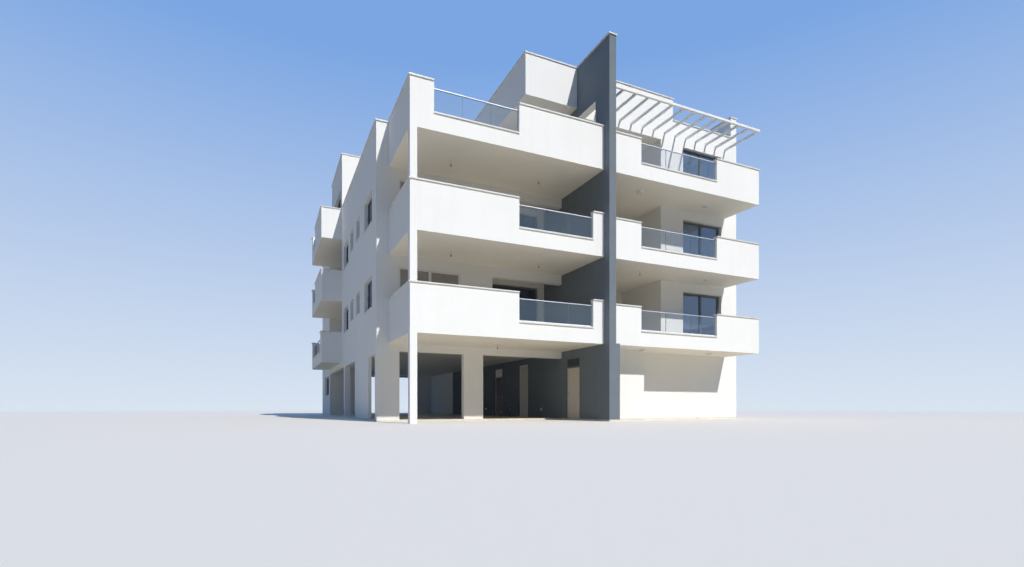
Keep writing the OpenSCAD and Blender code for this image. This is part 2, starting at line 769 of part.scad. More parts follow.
// Copings of the front parapets of one floor, which stop at the blade and at the walls
module front_caps(k, from, len) {
  z = soffit(k) + parapet_h;
  zr = soffit(k) + right_parapet_h;
  inner = parapet_t + cap_out;
  union() {
    cap(-cap_out, -cap_out, from, inner, z);
    cap(-cap_out, -cap_out, inner, left_deep, z);
  }
  cap(from + len, -cap_out, left_len, inner, z);
  cap(from, -cap_out, from + len, inner, soffit(k) + upstand_h - cap_t);
  cap(right_x, -cap_out, right_x + right_notch_from, inner, zr);
  cap(right_x + right_notch_from, -cap_out, right_x + right_notch_from + right_notch_len, inner,
      soffit(k) + upstand_h - cap_t);
  union() {
    cap(right_x + right_notch_from + right_notch_len, -cap_out, right_end + cap_out, inner, zr);
    cap(right_end - inner, -cap_out, right_end + cap_out, right_deep, zr);
  }
}

module side_caps(k, from, len) {
  z = soffit(k) + parapet_h;
  x0 = body_left - side_out;
  inner = parapet_t + cap_out;
  union() {
    cap(x0 - cap_out, side_from - cap_out, body_left, side_from + inner, z);
    cap(x0 - cap_out, side_from - cap_out, x0 + inner, side_from + from, z);
  }
  union() {
    cap(x0 - cap_out, side_from + from + len, x0 + inner, side_to + cap_out, z);
    cap(x0 - cap_out, side_to - inner, body_left, side_to + cap_out, z);
  }
  cap(x0 - cap_out, side_from + from, x0 + inner, side_from + from + len, soffit(k) + upstand_h - cap_t);
}

module terrace_caps() {
  z = parapet_top;
  inner = parapet_t + cap_out;
  union() {
    cap(body_left - cap_out, left_deep - cap_out, inner, left_deep + inner, z);
    cap(body_left - cap_out, left_deep - cap_out, body_left + inner, top_step, z);
  }
  union() {
    cap(body_left, side_to, body_left + inner, body_deep + cap_out, z);
    cap(body_left - cap_out, side_to + cap_out, body_left + inner, body_deep + cap_out, z);
    cap(body_left - cap_out, body_deep - inner, body_right + cap_out, body_deep + cap_out, z);
    cap(body_right - inner, top_deep, body_right + cap_out, body_deep + cap_out, z);
  }
}

module roof_caps() {
  inner = wall_t + cap_out;
  cap(blade_x - cap_out, -blade_out - cap_out, right_x + cap_out, blade_end, roof_top);
  cap(box_left_x - cap_out, box_back - cap_out, blade_x, box_back + inner, roof_top);
  cap(box_left_x - cap_out, box_back - cap_out, box_left_x + inner, top_step + cap_out, roof_top);
  cap(right_x, right_deep - cap_out, fascia_end_x + cap_out, right_deep + inner, roof_top);
  cap(body_right - end_blade_w - cap_out, right_deep - cap_out,
      body_right + cap_out, right_deep + end_blade_len + cap_out, roof_top);
  union() {
    cap(body_left - cap_out, top_step - cap_out, box_left_x, top_step + inner, rear_top);
    cap(box_left_x, top_step, box_left_x + inner, top_step + inner, rear_top);
    cap(body_left - cap_out, top_step - cap_out, body_left + inner, top_deep + cap_out, rear_top);
    cap(body_left - cap_out, top_deep - inner, blade_x + cap_out, top_deep + cap_out, rear_top);
  }
  union() {
    cap(fascia_end_x, right_deep - cap_out, body_right - end_blade_w, right_deep + inner, low_top);
    cap(blade_x, top_deep - inner, body_right + cap_out, top_deep + cap_out, low_top);
    cap(body_right - inner, right_deep + end_blade_len, body_right + cap_out, top_deep + cap_out, low_top);
  }
}

module copings()
  color("gainsboro") place()
    union() {
      for (k = [1:3]) {
        front_caps(k, front_notches[k - 1][0], front_notches[k - 1][1]);
        side_caps(k, side_notches[k - 1][0], side_notches[k - 1][1]);
      }
      terrace_caps();
      roof_caps();
    }

// Clear openings across a frame: one in a narrow window, otherwise two with a bar between them
function panes(h) = h[1] < bar_from
  ? [[frame_w, h[1] - frame_w]]
  : [[frame_w, (h[1] - frame_w) / 2], [(h[1] + frame_w) / 2, h[1] - frame_w]];

// Frame with its bar, or the panes, of one hole. The wall runs along X and its outer face is at Y 0.
module window(h, z0, glass)
  if (glass)
    for (p = panes(h))
      span([h[0] + p[0], frame_back + (frame_t - pane_t) / 2, z0 + h[2] + frame_w],
           [h[0] + p[1], frame_back + (frame_t + pane_t) / 2, z0 + h[3] - frame_w]);
  else
    difference() {
      span([h[0], frame_back, z0 + h[2]], [h[0] + h[1], frame_back + frame_t, z0 + h[3]]);
      for (p = panes(h))
        span([h[0] + p[0], frame_back - cut, z0 + h[2] + frame_w],
             [h[0] + p[1], frame_back + frame_t + cut, z0 + h[3] - frame_w]);
    }

// Windows of a wall that looks to the front, left, right or rear, with its outer face at the place given
module front_set(list, y, z, glass) for (h = list) translate([0, y, 0]) window(h, z, glass);
module left_set(list, x, z, glass)
  for (h = list) translate([x, 0, 0]) mirror([1, -1, 0]) window(h, z, glass);
module right_set(list, x, z, glass)
  for (h = list) translate([x, 0, 0]) mirror([1, 0, 0]) mirror([1, -1, 0]) window(h, z, glass);
module rear_set(list, y, z, glass)
  for (h = list) translate([0, y, 0]) mirror([0, 1, 0]) window(h, z, glass);

// Every window of one upper floor, as frames or as panes
module window_set(k, glass) {
  z = floor_z(k);
  left_set(concat(side_windows, [wide(last_y)]), body_left, z, glass);
  left_set([loggia_door], loggia_x, z, glass);
  right_set(right_windows, body_right, z, glass);
  rear_set(rear_windows, body_deep, z, glass);
  front_set([front_left_door], left_deep, z, glass);
  front_set([left_recess_door], left_recess_y, z, glass);
  front_set([front_right_door], right_deep, z, glass);
  front_set([right_recess_door], right_recess_y, z, glass);
}

// Every window of the top floor
module top_window_set(glass) {
  z = floor_z(3);
  left_set(top_left_doors, top_left_x, z, glass);
  left_set([top_corner_door], body_left, z, glass);
  right_set(top_right_windows, body_right, z, glass);
  rear_set(top_rear_windows, top_deep, z, glass);
  front_set([top_front_door], left_recess_y, z, glass);
  front_set([top_step_door], top_step, z, glass);
  front_set([front_right_door], right_deep, z, glass);
  front_set([right_recess_door], right_recess_y, z, glass);
}

// Every window of the ground floor
module ground_window_set(glass) {
  left_set([parking_window], body_left, ground_t, glass);
  right_set(ground_right_windows, body_right, ground_t, glass);
  rear_set(ground_rear_windows, body_deep, ground_t, glass);
}

module window_frames(k) color("dimgray") place() window_set(k, false);
module glazing(k) color("lightsteelblue", 0.5) place() window_set(k, true);
module ground_window_frames() color("dimgray") place() ground_window_set(false);
module ground_glazing() color("lightsteelblue", 0.5) place() ground_window_set(true);
module third_window_frames() color("dimgray") place() top_window_set(false);
module third_glazing() color("lightsteelblue", 0.5) place() top_window_set(true);

// Doors: [start along the wall, doorway width, top of the leaf]
lobby = [lobby_door_y, lobby_door_w, transom_z];
tall = [tall_door_y, tall_door_w, doorway_h - jamb_w];
store = [store_door_y, store_door_w, transom_z];
door_face = blade_x + door_back;
hinge_x = door_face - knuckle_r - hinge_proud;
function hinge_y(d) = d[0] + jamb_w + leaf_gap / 2;
function hinge_heights(d) = [ground_t + hinge_in, (ground_t + d[2]) / 2, d[2] - hinge_in];

// Fixed frame with transom panel and the pins and lower knuckles of its hinges
module door_frame(d)
  union() {
    difference() {
      span([door_face, d[0], ground_t], [door_face + jamb_t, d[0] + d[1], doorway_h]);
      span([door_face - cut, d[0] + jamb_w, ground_t - cut],
           [door_face + jamb_t + cut, d[0] + d[1] - jamb_w, d[2]]);
      if (d[2] + jamb_w < doorway_h)
        span([door_face - cut, d[0] + jamb_w, d[2] + jamb_w],
             [door_face + transom_in, d[0] + d[1] - jamb_w, doorway_h - jamb_w]);
    }
    for (z = hinge_heights(d)) {
      translate([hinge_x, hinge_y(d), z - knuckle_h]) cylinder(r = knuckle_r, h = knuckle_h);
      translate([hinge_x, hinge_y(d), z]) cylinder(r = hinge_pin_r, h = knuckle_h);
      span([hinge_x, hinge_y(d) - hinge_leaf_w, z - knuckle_h], [door_face, hinge_y(d), z]);
    }
  }

module door_frames() color("white") place() for (d = [lobby, tall, store]) door_frame(d);

// Leaf with the upper knuckles of its hinges
module door_leaf(d)
  difference() {
    union() {
      span([door_face, hinge_y(d) + leaf_gap / 2, ground_t + leaf_gap],
           [door_face + leaf_t, d[0] + d[1] - jamb_w - leaf_gap, d[2] - leaf_gap]);
      for (z = hinge_heights(d)) {
        translate([hinge_x, hinge_y(d), z + knuckle_play]) cylinder(r = knuckle_r, h = knuckle_h);
        span([hinge_x, hinge_y(d), z + knuckle_play],
             [door_face, hinge_y(d) + hinge_leaf_w, z + knuckle_play + knuckle_h]);
      }
    }
    for (z = hinge_heights(d))
      translate([hinge_x, hinge_y(d), z - cut]) cylinder(r = hinge_pin_r + pin_play, h = knuckle_h + 2 * cut);
  }

// Lever handles on both faces of a leaf
module levers(d) {
  y = d[0] + d[1] - jamb_w - leaf_gap - lever_in;
  for (s = [-1, 1])
    translate([s < 0 ? door_face : door_face + leaf_t, y, ground_t + lever_z])
      rotate([0, s * 90, 0])
        union() {
          cylinder(r = rose_r, h = rose_t);
          cylinder(r = lever_r, h = lever_out);
          translate([0, 0, lever_out]) sphere(r = lever_r);
          translate([0, 0, lever_out]) rotate([90, 0, 0]) cylinder(r = lever_r, h = lever_len);
        }
}

module lobby_door() color("whitesmoke") place() door_leaf(lobby);
module tall_door() color("whitesmoke") place() door_leaf(tall);
module store_door() color("maroon") place() door_leaf(store);
module lobby_lever() color("silver") place() levers(lobby);
module tall_lever() color("silver") place() levers(tall);
module store_lever() color("silver") place() levers(store);

function right_lamp_y(k) =
  k == 1 ? (right_deep - lobby_out) * lobby_lamp_depth : right_deep * right_lamp_depth;

// Lamp hanging from a soffit: rose, stem and holder
module hanging_lamp(x, y, z)
  translate([x, y, z])
    union() {
      translate([0, 0, -ceiling_rose_h]) cylinder(r = ceiling_rose_r, h = ceiling_rose_h);
      translate([0, 0, -lamp_drop]) cylinder(r = stem_r, h = lamp_drop);
      translate([0, 0, -lamp_drop]) cylinder(r = holder_r, h = holder_h);
    }

module flat_lamp(x, y, z, r, h) translate([x, y, z - h]) cylinder(r = r, h = h);

// Lamps under the soffits, and low wall lamps between the doors of the dark wall
module lamps()
  color("white") place() {
    for (k = [1:3], share = k == 1 ? [middle_lamp_share] : left_lamp_shares)
      hanging_lamp(left_len * share, left_deep * left_lamp_depth, soffit(k));
    for (k = [1, 3], share = right_lamp_shares)
      flat_lamp(right_x + right_len * share, right_lamp_y(k), soffit(k), large_lamp_r, large_lamp_h);
    hanging_lamp(right_x + right_len * right_lamp_shares[0], right_lamp_y(2), soffit(2));
    flat_lamp(right_x + right_len * right_lamp_shares[1], right_lamp_y(2), soffit(2), small_lamp_r,
              small_lamp_h);
    for (y = [(lobby_door_y + lobby_door_w + tall_door_y) / 2 + wall_lamp_shift,
              (tall_door_y + tall_door_w + store_door_y) / 2,
              store_door_y + store_door_w + wall_lamp_past])
      translate([blade_x, y, wall_lamp_z]) rotate([0, -90, 0]) cylinder(r = wall_lamp_r, h = wall_lamp_h);
  }

ground_slab();
floor_slab(1);  // first_floor_slab
floor_slab(2);  // second_floor_slab
floor_slab(3);  // third_floor_slab
roof_slab();
blade_wall();
core_wall_piers();
core_wall_heads();
core_wall_rear();
parking_piers();
parking_beam();
corner_column();
ground_side_walls();
ground_rear_wall();
ground_front_wall();
front_walls(1);  // first_front_walls
front_walls(2);  // second_front_walls
third_front_walls();
side_walls(1);  // first_side_walls
side_walls(2);  // second_side_walls
third_side_walls();
rear_wall(1);  // first_rear_wall
rear_wall(2);  // second_rear_wall
third_rear_wall();
parapets(1, notch_from, notch_len);  // first_parapets
parapets(2, notch_from, notch_len);  // second_parapets
parapets(3, notch3_from, notch3_len);  // third_parapets
side_balcony(1, side_notches[0][0], side_notches[0][1]);  // first_side_balcony
side_balcony(2, side_notches[1][0], side_notches[1][1]);  // second_side_balcony
side_balcony(3, side_notches[2][0], side_notches[2][1]);  // third_side_balcony
balcony_glass();
handrails();
terrace_parapets();
roof_parapets();
pergola();
copings();
ground_window_frames();
window_frames(1);  // first_window_frames
window_frames(2);  // second_window_frames
third_window_frames();
ground_glazing();
glazing(1);  // first_glazing
glazing(2);  // second_glazing
third_glazing();
door_frames();
lobby_door();
tall_door();
store_door();
lobby_lever();
tall_lever();
store_lever();
lamps();
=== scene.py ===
"""Looks of a white rendered apartment block with a tall slate-coloured blade wall.

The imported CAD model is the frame. Its nodes keep their shapes and get procedural finishes here, and
the fine pieces that a builder would fit afterwards (sashes, gaskets, sills, rail flanges, coping
straps, pergola shoes, lamps and door furniture) are made from the places and sizes of those nodes.
"""

from __future__ import annotations

import json
import logging
import math
from dataclasses import dataclass, field, replace
from enum import Enum
from typing import Any, Iterable, Sequence

import bmesh
import bpy
from mathutils import Matrix, Vector
from mathutils.bvhtree import BVHTree

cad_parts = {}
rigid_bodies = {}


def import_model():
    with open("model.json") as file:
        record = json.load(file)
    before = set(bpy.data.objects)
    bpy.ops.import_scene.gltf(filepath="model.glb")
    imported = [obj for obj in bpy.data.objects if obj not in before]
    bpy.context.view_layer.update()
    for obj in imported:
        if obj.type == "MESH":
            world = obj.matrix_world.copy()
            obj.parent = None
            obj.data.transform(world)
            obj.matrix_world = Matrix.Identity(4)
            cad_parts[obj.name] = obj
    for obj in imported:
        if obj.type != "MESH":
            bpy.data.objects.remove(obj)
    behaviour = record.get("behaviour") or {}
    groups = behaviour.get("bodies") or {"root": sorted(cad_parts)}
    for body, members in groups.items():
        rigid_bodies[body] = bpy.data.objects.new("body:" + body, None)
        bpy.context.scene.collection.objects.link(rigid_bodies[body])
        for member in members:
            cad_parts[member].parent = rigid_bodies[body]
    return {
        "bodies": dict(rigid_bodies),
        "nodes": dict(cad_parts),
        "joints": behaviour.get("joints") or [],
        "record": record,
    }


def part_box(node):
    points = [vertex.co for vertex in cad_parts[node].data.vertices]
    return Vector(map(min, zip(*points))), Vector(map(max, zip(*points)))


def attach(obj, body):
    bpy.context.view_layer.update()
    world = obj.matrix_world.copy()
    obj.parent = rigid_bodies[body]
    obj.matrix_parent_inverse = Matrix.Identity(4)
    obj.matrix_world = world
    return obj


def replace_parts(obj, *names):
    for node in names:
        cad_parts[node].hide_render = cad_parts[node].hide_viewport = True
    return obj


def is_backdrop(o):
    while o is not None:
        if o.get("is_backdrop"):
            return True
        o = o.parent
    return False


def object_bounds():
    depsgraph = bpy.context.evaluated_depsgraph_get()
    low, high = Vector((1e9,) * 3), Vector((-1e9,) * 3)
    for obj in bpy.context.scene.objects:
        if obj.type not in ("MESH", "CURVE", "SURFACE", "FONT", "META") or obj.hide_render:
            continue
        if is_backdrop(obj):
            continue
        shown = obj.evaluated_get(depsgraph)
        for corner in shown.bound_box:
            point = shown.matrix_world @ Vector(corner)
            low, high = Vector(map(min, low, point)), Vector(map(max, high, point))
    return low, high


LOG = logging.getLogger("apartment_block")
MM = 0.001
SAME = 0.2 * MM  # distance under which two coordinates are the same
DIGITS = 4  # decimals of a metre to which corners are told apart
ORDER_DIGITS = 3  # decimals of a metre by which solids and faces are put in order
RIGHT, BACK, UP = Vector((1, 0, 0)), Vector((0, 1, 0)), Vector((0, 0, 1))

Tree = bpy.types.NodeTree
Piece = bpy.types.Object
Line = tuple[Vector, Vector]
Pair = tuple[float, float]
Size = tuple[float, float, float]
Pairs = Sequence[Pair]


class Body(Enum):
    """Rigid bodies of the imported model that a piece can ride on."""

    BUILDING = "building"
    LOBBY = "lobby_leaf"
    TALL = "tall_leaf"
    STORE = "store_leaf"


class Slot(Enum):
    """Material slots of the record that a piece takes its finish from."""

    WHITE_RENDER = "white_render"
    DARK_RENDER = "dark_render"
    CONCRETE = "concrete"
    COPING = "coping_paint"
    WHITE_METAL = "white_metal"
    RAIL_METAL = "rail_metal"
    FRAME_METAL = "frame_metal"
    WINDOW_GLASS = "window_glass"
    RAIL_GLASS = "rail_glass"
    DOOR_WHITE = "door_white"
    DOOR_RED = "door_red"
    LEVER_METAL = "lever_metal"
    LAMP_WHITE = "lamp_white"


class Storey(Enum):
    """Storeys, named as the frame's nodes name them."""

    GROUND = "ground"
    FIRST = "first"
    SECOND = "second"
    THIRD = "third"


# Node trees


def linear(code: str) -> tuple[float, float, float, float]:
    """Turns an sRGB hex colour into linear RGBA.

    Args:
        code: Colour such as "#F1F0EC".

    Returns:
        Linear red, green, blue and an alpha of 1.
    """
    parts = [int(code[i : i + 2], 16) / 255 for i in (1, 3, 5)]
    red, green, blue = (c / 12.92 if c <= 0.04045 else ((c + 0.055) / 1.055) ** 2.4 for c in parts)
    return (red, green, blue, 1.0)


def add(tree: Tree, kind: str, inputs: dict[Any, Any] | None = None, **settings: Any) -> Any:
    """Adds one node with its settings and links.

    Args:
        tree: Node tree that gets the node.
        kind: Blender's name for the node's type.
        inputs: Input name or index, with a value, a socket, or a node whose first live output it
            takes.
        **settings: Properties of the node itself.

    Returns:
        The new node.
    """
    node = tree.nodes.new(kind)
    for name, value in settings.items():
        setattr(node, name, value)
    for key, value in (inputs or {}).items():
        if isinstance(value, bpy.types.Node):
            value = next(socket for socket in value.outputs if socket.enabled)
        if isinstance(value, bpy.types.NodeSocket):
            tree.links.new(value, node.inputs[key])
        else:
            node.inputs[key].default_value = value
    return node


def bare_tree(owner: Any) -> Tree:
    """Gives a material or a world a node tree with nothing in it.

    Args:
        owner: The material or world.

    Returns:
        Its tree.
    """
    owner.use_nodes = True
    owner.node_tree.nodes.clear()
    return owner.node_tree


# Places of a mix's factor, two numbers and two colours among its inputs
FACTOR, NUMBER_A, NUMBER_B, COLOUR_A, COLOUR_B = 0, 2, 3, 6, 7


# Patterns: where a mark lies on a surface, from 0 to 1


@dataclass(frozen=True)
class Clouds:
    """Noise of one size, from nothing at its low level to full at its high one."""

    size_mm: float
    low: float = 0.35
    high: float = 0.75
    detail: float = 3.0  # octaves of the noise
    stretch: Size = (1.0, 1.0, 1.0)  # under 1 along an axis where the marks are long

    def mask(self, tree: Tree, at: Any) -> Any:
        """Adds the pattern.

        Args:
            tree: Node tree of the material.
            at: Coordinates.

        Returns:
            Its last node.
        """
        mapped = add(tree, "ShaderNodeMapping", {"Vector": at, "Scale": self.stretch})
        inputs = {"Vector": mapped, "Scale": 1 / (self.size_mm * MM), "Detail": self.detail}
        noise = add(tree, "ShaderNodeTexNoise", inputs)
        inputs = {"Value": noise, "From Min": self.low, "From Max": self.high}
        return add(tree, "ShaderNodeMapRange", inputs)


@dataclass(frozen=True)
class Joints:
    """Straight joints across one axis, 0 for X and 1 for Y."""

    axis: int
    pitch_mm: float
    width_mm: float

    def mask(self, tree: Tree, at: Any) -> Any:
        """Adds the pattern.

        Args:
            tree: Node tree of the material.
            at: Coordinates.

        Returns:
            Its last node.
        """
        place = add(tree, "ShaderNodeSeparateXYZ", {0: at}).outputs[self.axis]
        turns = add(tree, "ShaderNodeMath", {0: place, 1: self.pitch_mm * MM}, operation="DIVIDE")
        part = add(tree, "ShaderNodeMath", {0: turns}, operation="FRACT")
        inputs = {0: part, 1: self.width_mm / self.pitch_mm}
        return add(tree, "ShaderNodeMath", inputs, operation="LESS_THAN")


@dataclass(frozen=True)
class Stretch:
    """One end of a piece along an axis, for a part of it that is painted otherwise."""

    axis: int
    end_mm: float  # coordinate in the model up to which it reaches

    def mask(self, tree: Tree, at: Any) -> Any:
        """Adds the pattern, and returns its last node."""
        along = add(tree, "ShaderNodeSeparateXYZ", {0: at}).outputs[self.axis]
        return add(tree, "ShaderNodeMath", {0: along, 1: self.end_mm * MM}, operation="LESS_THAN")


@dataclass(frozen=True)
class Tiles:
    """Square tiles in plan: their joints, or a tone for each tile."""

    tile_mm: float  # side of a tile with its joint
    joint_mm: float
    tones: bool = False

    def mask(self, tree: Tree, at: Any) -> Any:
        """Adds the pattern.

        Args:
            tree: Node tree of the material.
            at: Coordinates.

        Returns:
            The socket of the tones or of the joints.
        """
        inputs = {"Vector": at, "Scale": 1.0, "Mortar Size": self.joint_mm * MM / 2}
        black, white = linear("#000000"), linear("#FFFFFF")
        inputs |= {"Color1": black, "Color2": white, "Mortar": black}
        inputs |= {"Brick Width": self.tile_mm * MM, "Row Height": self.tile_mm * MM}
        tiles = add(tree, "ShaderNodeTexBrick", inputs, offset=0.0)
        return tiles.outputs["Color" if self.tones else "Fac"]


# Finishes: what a surface is made of


@dataclass(frozen=True)
class Layer:
    """One kind of mark on a surface, with what it adds to the roughness and the relief."""

    where: Clouds | Joints | Stretch | Tiles
    colour: str = ""  # nothing where it only changes gloss or relief
    cover: float = 1.0  # how much of the colour beneath it hides
    rough: float = 0.0
    height_mm: float = 0.0


@dataclass(frozen=True)
class Surface:
    """Colour, roughness and relief of a surface, as constants or as what feeds them."""

    colour: Any
    rough: Any
    height: Any


@dataclass(frozen=True)
class Finish:
    """Material with one base colour and any number of layers over it."""

    name: str
    slot: Slot
    colour: str
    rough: float
    layers: tuple[Layer, ...] = ()
    metallic: float = 0.0
    alpha: float = 1.0  # how much a glass hides of what lies behind it
    ior: float = 1.5
    mirror: str = "#FFFFFF"  # colour of its reflections

    def surface(self, tree: Tree, at: Any) -> Surface:
        """Builds the layers over the base.

        Args:
            tree: Node tree of the material.
            at: Coordinates.

        Returns:
            The surface with all layers on it.
        """
        colour, rough, height = linear(self.colour), self.rough, 0.0
        for layer in self.layers:
            mask = layer.where.mask(tree, at)
            if layer.colour:
                part = add(tree, "ShaderNodeMath", {0: mask, 1: layer.cover}, operation="MULTIPLY")
                inputs = {FACTOR: part, COLOUR_A: colour, COLOUR_B: linear(layer.colour)}
                colour = add(tree, "ShaderNodeMix", inputs, data_type="RGBA")
            if layer.rough:
                inputs = {0: mask, 1: layer.rough, 2: rough}
                rough = add(tree, "ShaderNodeMath", inputs, operation="MULTIPLY_ADD")
            if layer.height_mm:
                inputs = {0: mask, 1: layer.height_mm, 2: height}
                height = add(tree, "ShaderNodeMath", inputs, operation="MULTIPLY_ADD")
        return Surface(colour, rough, height)

    def material(self) -> bpy.types.Material:
        """Makes the material on the first call.

        Returns:
            The material.
        """
        found = bpy.data.materials.get(self.name)
        if found:
            return found
        made = bpy.data.materials.new(self.name)
        tree = bare_tree(made)
        seen = self.surface(tree, add(tree, "ShaderNodeTexCoord").outputs["Object"])
        inputs = {"Base Color": seen.colour, "Roughness": seen.rough, "Metallic": self.metallic}
        inputs |= {"Alpha": self.alpha, "IOR": self.ior, "Specular Tint": linear(self.mirror)}
        if not isinstance(seen.height, float):
            inputs["Normal"] = add(tree, "ShaderNodeBump", {"Height": seen.height, "Distance": MM})
        shader = add(tree, "ShaderNodeBsdfPrincipled", inputs)
        add(tree, "ShaderNodeOutputMaterial", {"Surface": shader})
        return made


# Upright part of its normal from which a face counts as one that faces up or down
LEVEL = 0.5


@dataclass(frozen=True)
class Faced(Finish):
    """Three finishes on one node: its own on the sides, and others on what faces up and down."""

    top: Finish | None = None
    under: Finish | None = None

    def surface(self, tree: Tree, at: Any) -> Surface:
        """Mixes the three surfaces by the way a face points.

        Args:
            tree: Node tree of the material.
            at: Coordinates.

        Returns:
            The mixed surface.
        """
        normal = add(tree, "ShaderNodeTexCoord").outputs["Normal"]
        up = add(tree, "ShaderNodeSeparateXYZ", {0: normal}).outputs["Z"]
        mixed = super().surface(tree, at)
        for part, sign in ((self.top, 1), (self.under, -1)):
            own = part.surface(tree, at)
            share = add(tree, "ShaderNodeMath", {0: up, 1: sign / LEVEL}, operation="MULTIPLY")
            mask = add(tree, "ShaderNodeMath", {0: share, 1: 1.0}, operation="GREATER_THAN")
            inputs = {FACTOR: mask, COLOUR_A: mixed.colour, COLOUR_B: own.colour}
            colour = add(tree, "ShaderNodeMix", inputs, data_type="RGBA")
            rough, height = (
                add(tree, "ShaderNodeMix", {FACTOR: mask, NUMBER_A: a, NUMBER_B: b})
                for a, b in ((mixed.rough, own.rough), (mixed.height, own.height))
            )
            mixed = Surface(colour, rough, height)
        return mixed


def powder_coat(
    name: str,
    slot: Slot,
    colour: str,
    rough: float,
    tone: str,
    cloud_mm: float = 350,
    dull: float = 0.12,
    peel_mm: float = 0.1,
) -> Finish:
    """Makes a powder coat: slow duller clouds, and the orange peel that softens its highlights.

    The peel is drawn 9 mm wide, about three times as coarse as the real one, so that it shows.

    Args:
        name: Name of the material.
        slot: Slot of the record.
        colour: Base colour.
        rough: Roughness of the base.
        tone: Colour of the clouds.
        cloud_mm: Size of the clouds.
        dull: What they add to the roughness.
        peel_mm: Height of the orange peel.

    Returns:
        The finish.
    """
    clouds = Layer(Clouds(cloud_mm, 0.4, 0.75, 5), tone, rough=dull)
    peel = Layer(Clouds(9, 0.2, 0.8, 2), height_mm=peel_mm)
    return Finish(name, slot, colour, rough, (clouds, peel))


def brushed_metal(name: str, slot: Slot, colour: str, rough: float, tone: str) -> Finish:
    """Makes a metal with scratches of a tone of their own along X, for long soft highlights."""
    scratches = Layer(Clouds(5, 0.3, 0.7, 4, (0.04, 1, 1)), tone, 1.0, 0.14, 0.05)
    return Finish(name, slot, colour, rough, (scratches,), metallic=1.0)


# Grain of the silicone render, drawn at 14 mm because the real 1.5 mm doesn't show from the street
GRAIN = Layer(Clouds(14, 0.2, 0.8, 4), height_mm=0.9)
# Waves that the trowel leaves in it
TROWEL = Clouds(420, 0.4, 0.8, 5)
# Floated silicone render in a neutral white. Matt, so that it glows evenly in the sun. Slow clouds,
# trowel waves and upright rain streaks keep a wide wall from looking like card.
WHITE = Finish(
    "silicone_render_white",
    Slot.WHITE_RENDER,
    "#F1F1EF",
    0.92,
    (
        Layer(Clouds(2600), "#E3E2DD", 0.28),
        Layer(TROWEL, "#E6E5E0", 0.2, -0.06, 2.0),
        Layer(Clouds(260, 0.5, 0.85, 4, (1, 1, 0.05)), "#DAD8D1", 0.13),
        GRAIN,
    ),
)
# The same render tinted slate blue, on the tall blade wall and the wall with the doors. Its streaks
# are paler than the wall, as chalk is on a dark facade.
SLATE = Finish(
    "silicone_render_slate",
    Slot.DARK_RENDER,
    "#707A83",
    0.9,
    (
        Layer(Clouds(2600), "#667078", 0.5),
        Layer(TROWEL, "#778189", 0.3, -0.06, 2.0),
        Layer(Clouds(240, 0.5, 0.85, 4, (1, 1, 0.05)), "#808A92", 0.2),
        GRAIN,
    ),
)
# Rolled emulsion on the concrete soffits, dead flat, with the faint lines that the edges of the
# shuttering boards leave. Its tint, a little warmer than the walls, is painted warm light bounced up
# from the ground.
SOFFIT = Finish(
    "soffit_emulsion_with_painted_bounce",
    Slot.WHITE_RENDER,
    "#F4F0E6",
    0.92,
    (
        Layer(Clouds(1500), "#EAE6DD", 0.6),
        Layer(Joints(0, 1220, 8), "#DDD8CE", 0.5, height_mm=-0.6),
        Layer(Clouds(20, 0.2, 0.8, 4), height_mm=0.5),
    ),
)
# Rectified porcelain tiles, 600 mm, on the balconies and terraces. Each tile has its own tone, the
# joints are dark and matt, and the faces have a soft sheen.
TILES = Finish(
    "porcelain_tiles",
    Slot.WHITE_RENDER,
    "#E6DAC6",
    0.42,
    (
        Layer(Tiles(600, 6, tones=True), "#D0C7B8", 0.7),
        Layer(Clouds(90, 0.3, 0.7, 6), "#C6BDAD", 0.25, 0.06),
        Layer(Tiles(600, 6), "#9E988D", 1.0, 0.4, -1.5),
    ),
)
# Mineral roofing felt in rolls one metre wide. Granules make it dull and sparkling at once, and
# every lap shows as a darker line with a step.
FELT = Finish(
    "mineral_roofing_felt",
    Slot.WHITE_RENDER,
    "#CBCAC5",
    0.95,
    (
        Layer(Clouds(1100, 0.35, 0.7, 5), "#B5B4AE"),
        Layer(Joints(0, 1000, 30), "#8E8D88", 0.7, height_mm=2.0),
        Layer(Clouds(8, 0.2, 0.8, 3), height_mm=1.2),
    ),
)
# Power-floated concrete floor of the parking: pale and warm, cloudy, half glossy where the float
# burnished it, with saw cuts every three metres both ways.
CONCRETE = Finish(
    "power_floated_concrete",
    Slot.CONCRETE,
    "#E5DFD2",
    0.58,
    (
        Layer(Clouds(900, 0.3, 0.7, 6), "#D2CCBF", 1.0, 0.16),
        Layer(Clouds(240, 0.55, 0.7, 5), "#BDB7AB", 0.4, -0.1),
        *(Layer(Joints(axis, 3000, 12), "#6E6B65", 1.0, 0.2, -3.0) for axis in (0, 1)),
        Layer(Clouds(30, 0.2, 0.8, 5), height_mm=0.4),
    ),
)
# Slabs carry tiles or felt above, render on their edges and emulsion with painted bounce light
# underneath.
SLAB = (WHITE.slot, WHITE.colour, WHITE.rough, WHITE.layers)
FLOOR = Faced("rendered_slab_with_tiles", *SLAB, top=TILES, under=SOFFIT)
ROOF = Faced("rendered_slab_with_felt", *SLAB, top=FELT, under=SOFFIT)
# Folded steel copings with a polyester coat in light grey. Smoother than the render beside them, so
# that they draw a crisp line along every parapet.
COPING = powder_coat(
    "polyester_coated_steel_coping", Slot.COPING, "#DEDEDD", 0.42, "#CFCFCD", dull=0.14, peel_mm=0.2
)
# White powder coat on the pergola, the glass shoes and the lamps' metal: even, with a satin gloss.
WHITE_STEEL = powder_coat(
    "powder_coated_white_steel", Slot.WHITE_METAL, "#EFEFED", 0.42, "#E2E2DF", peel_mm=0.15
)
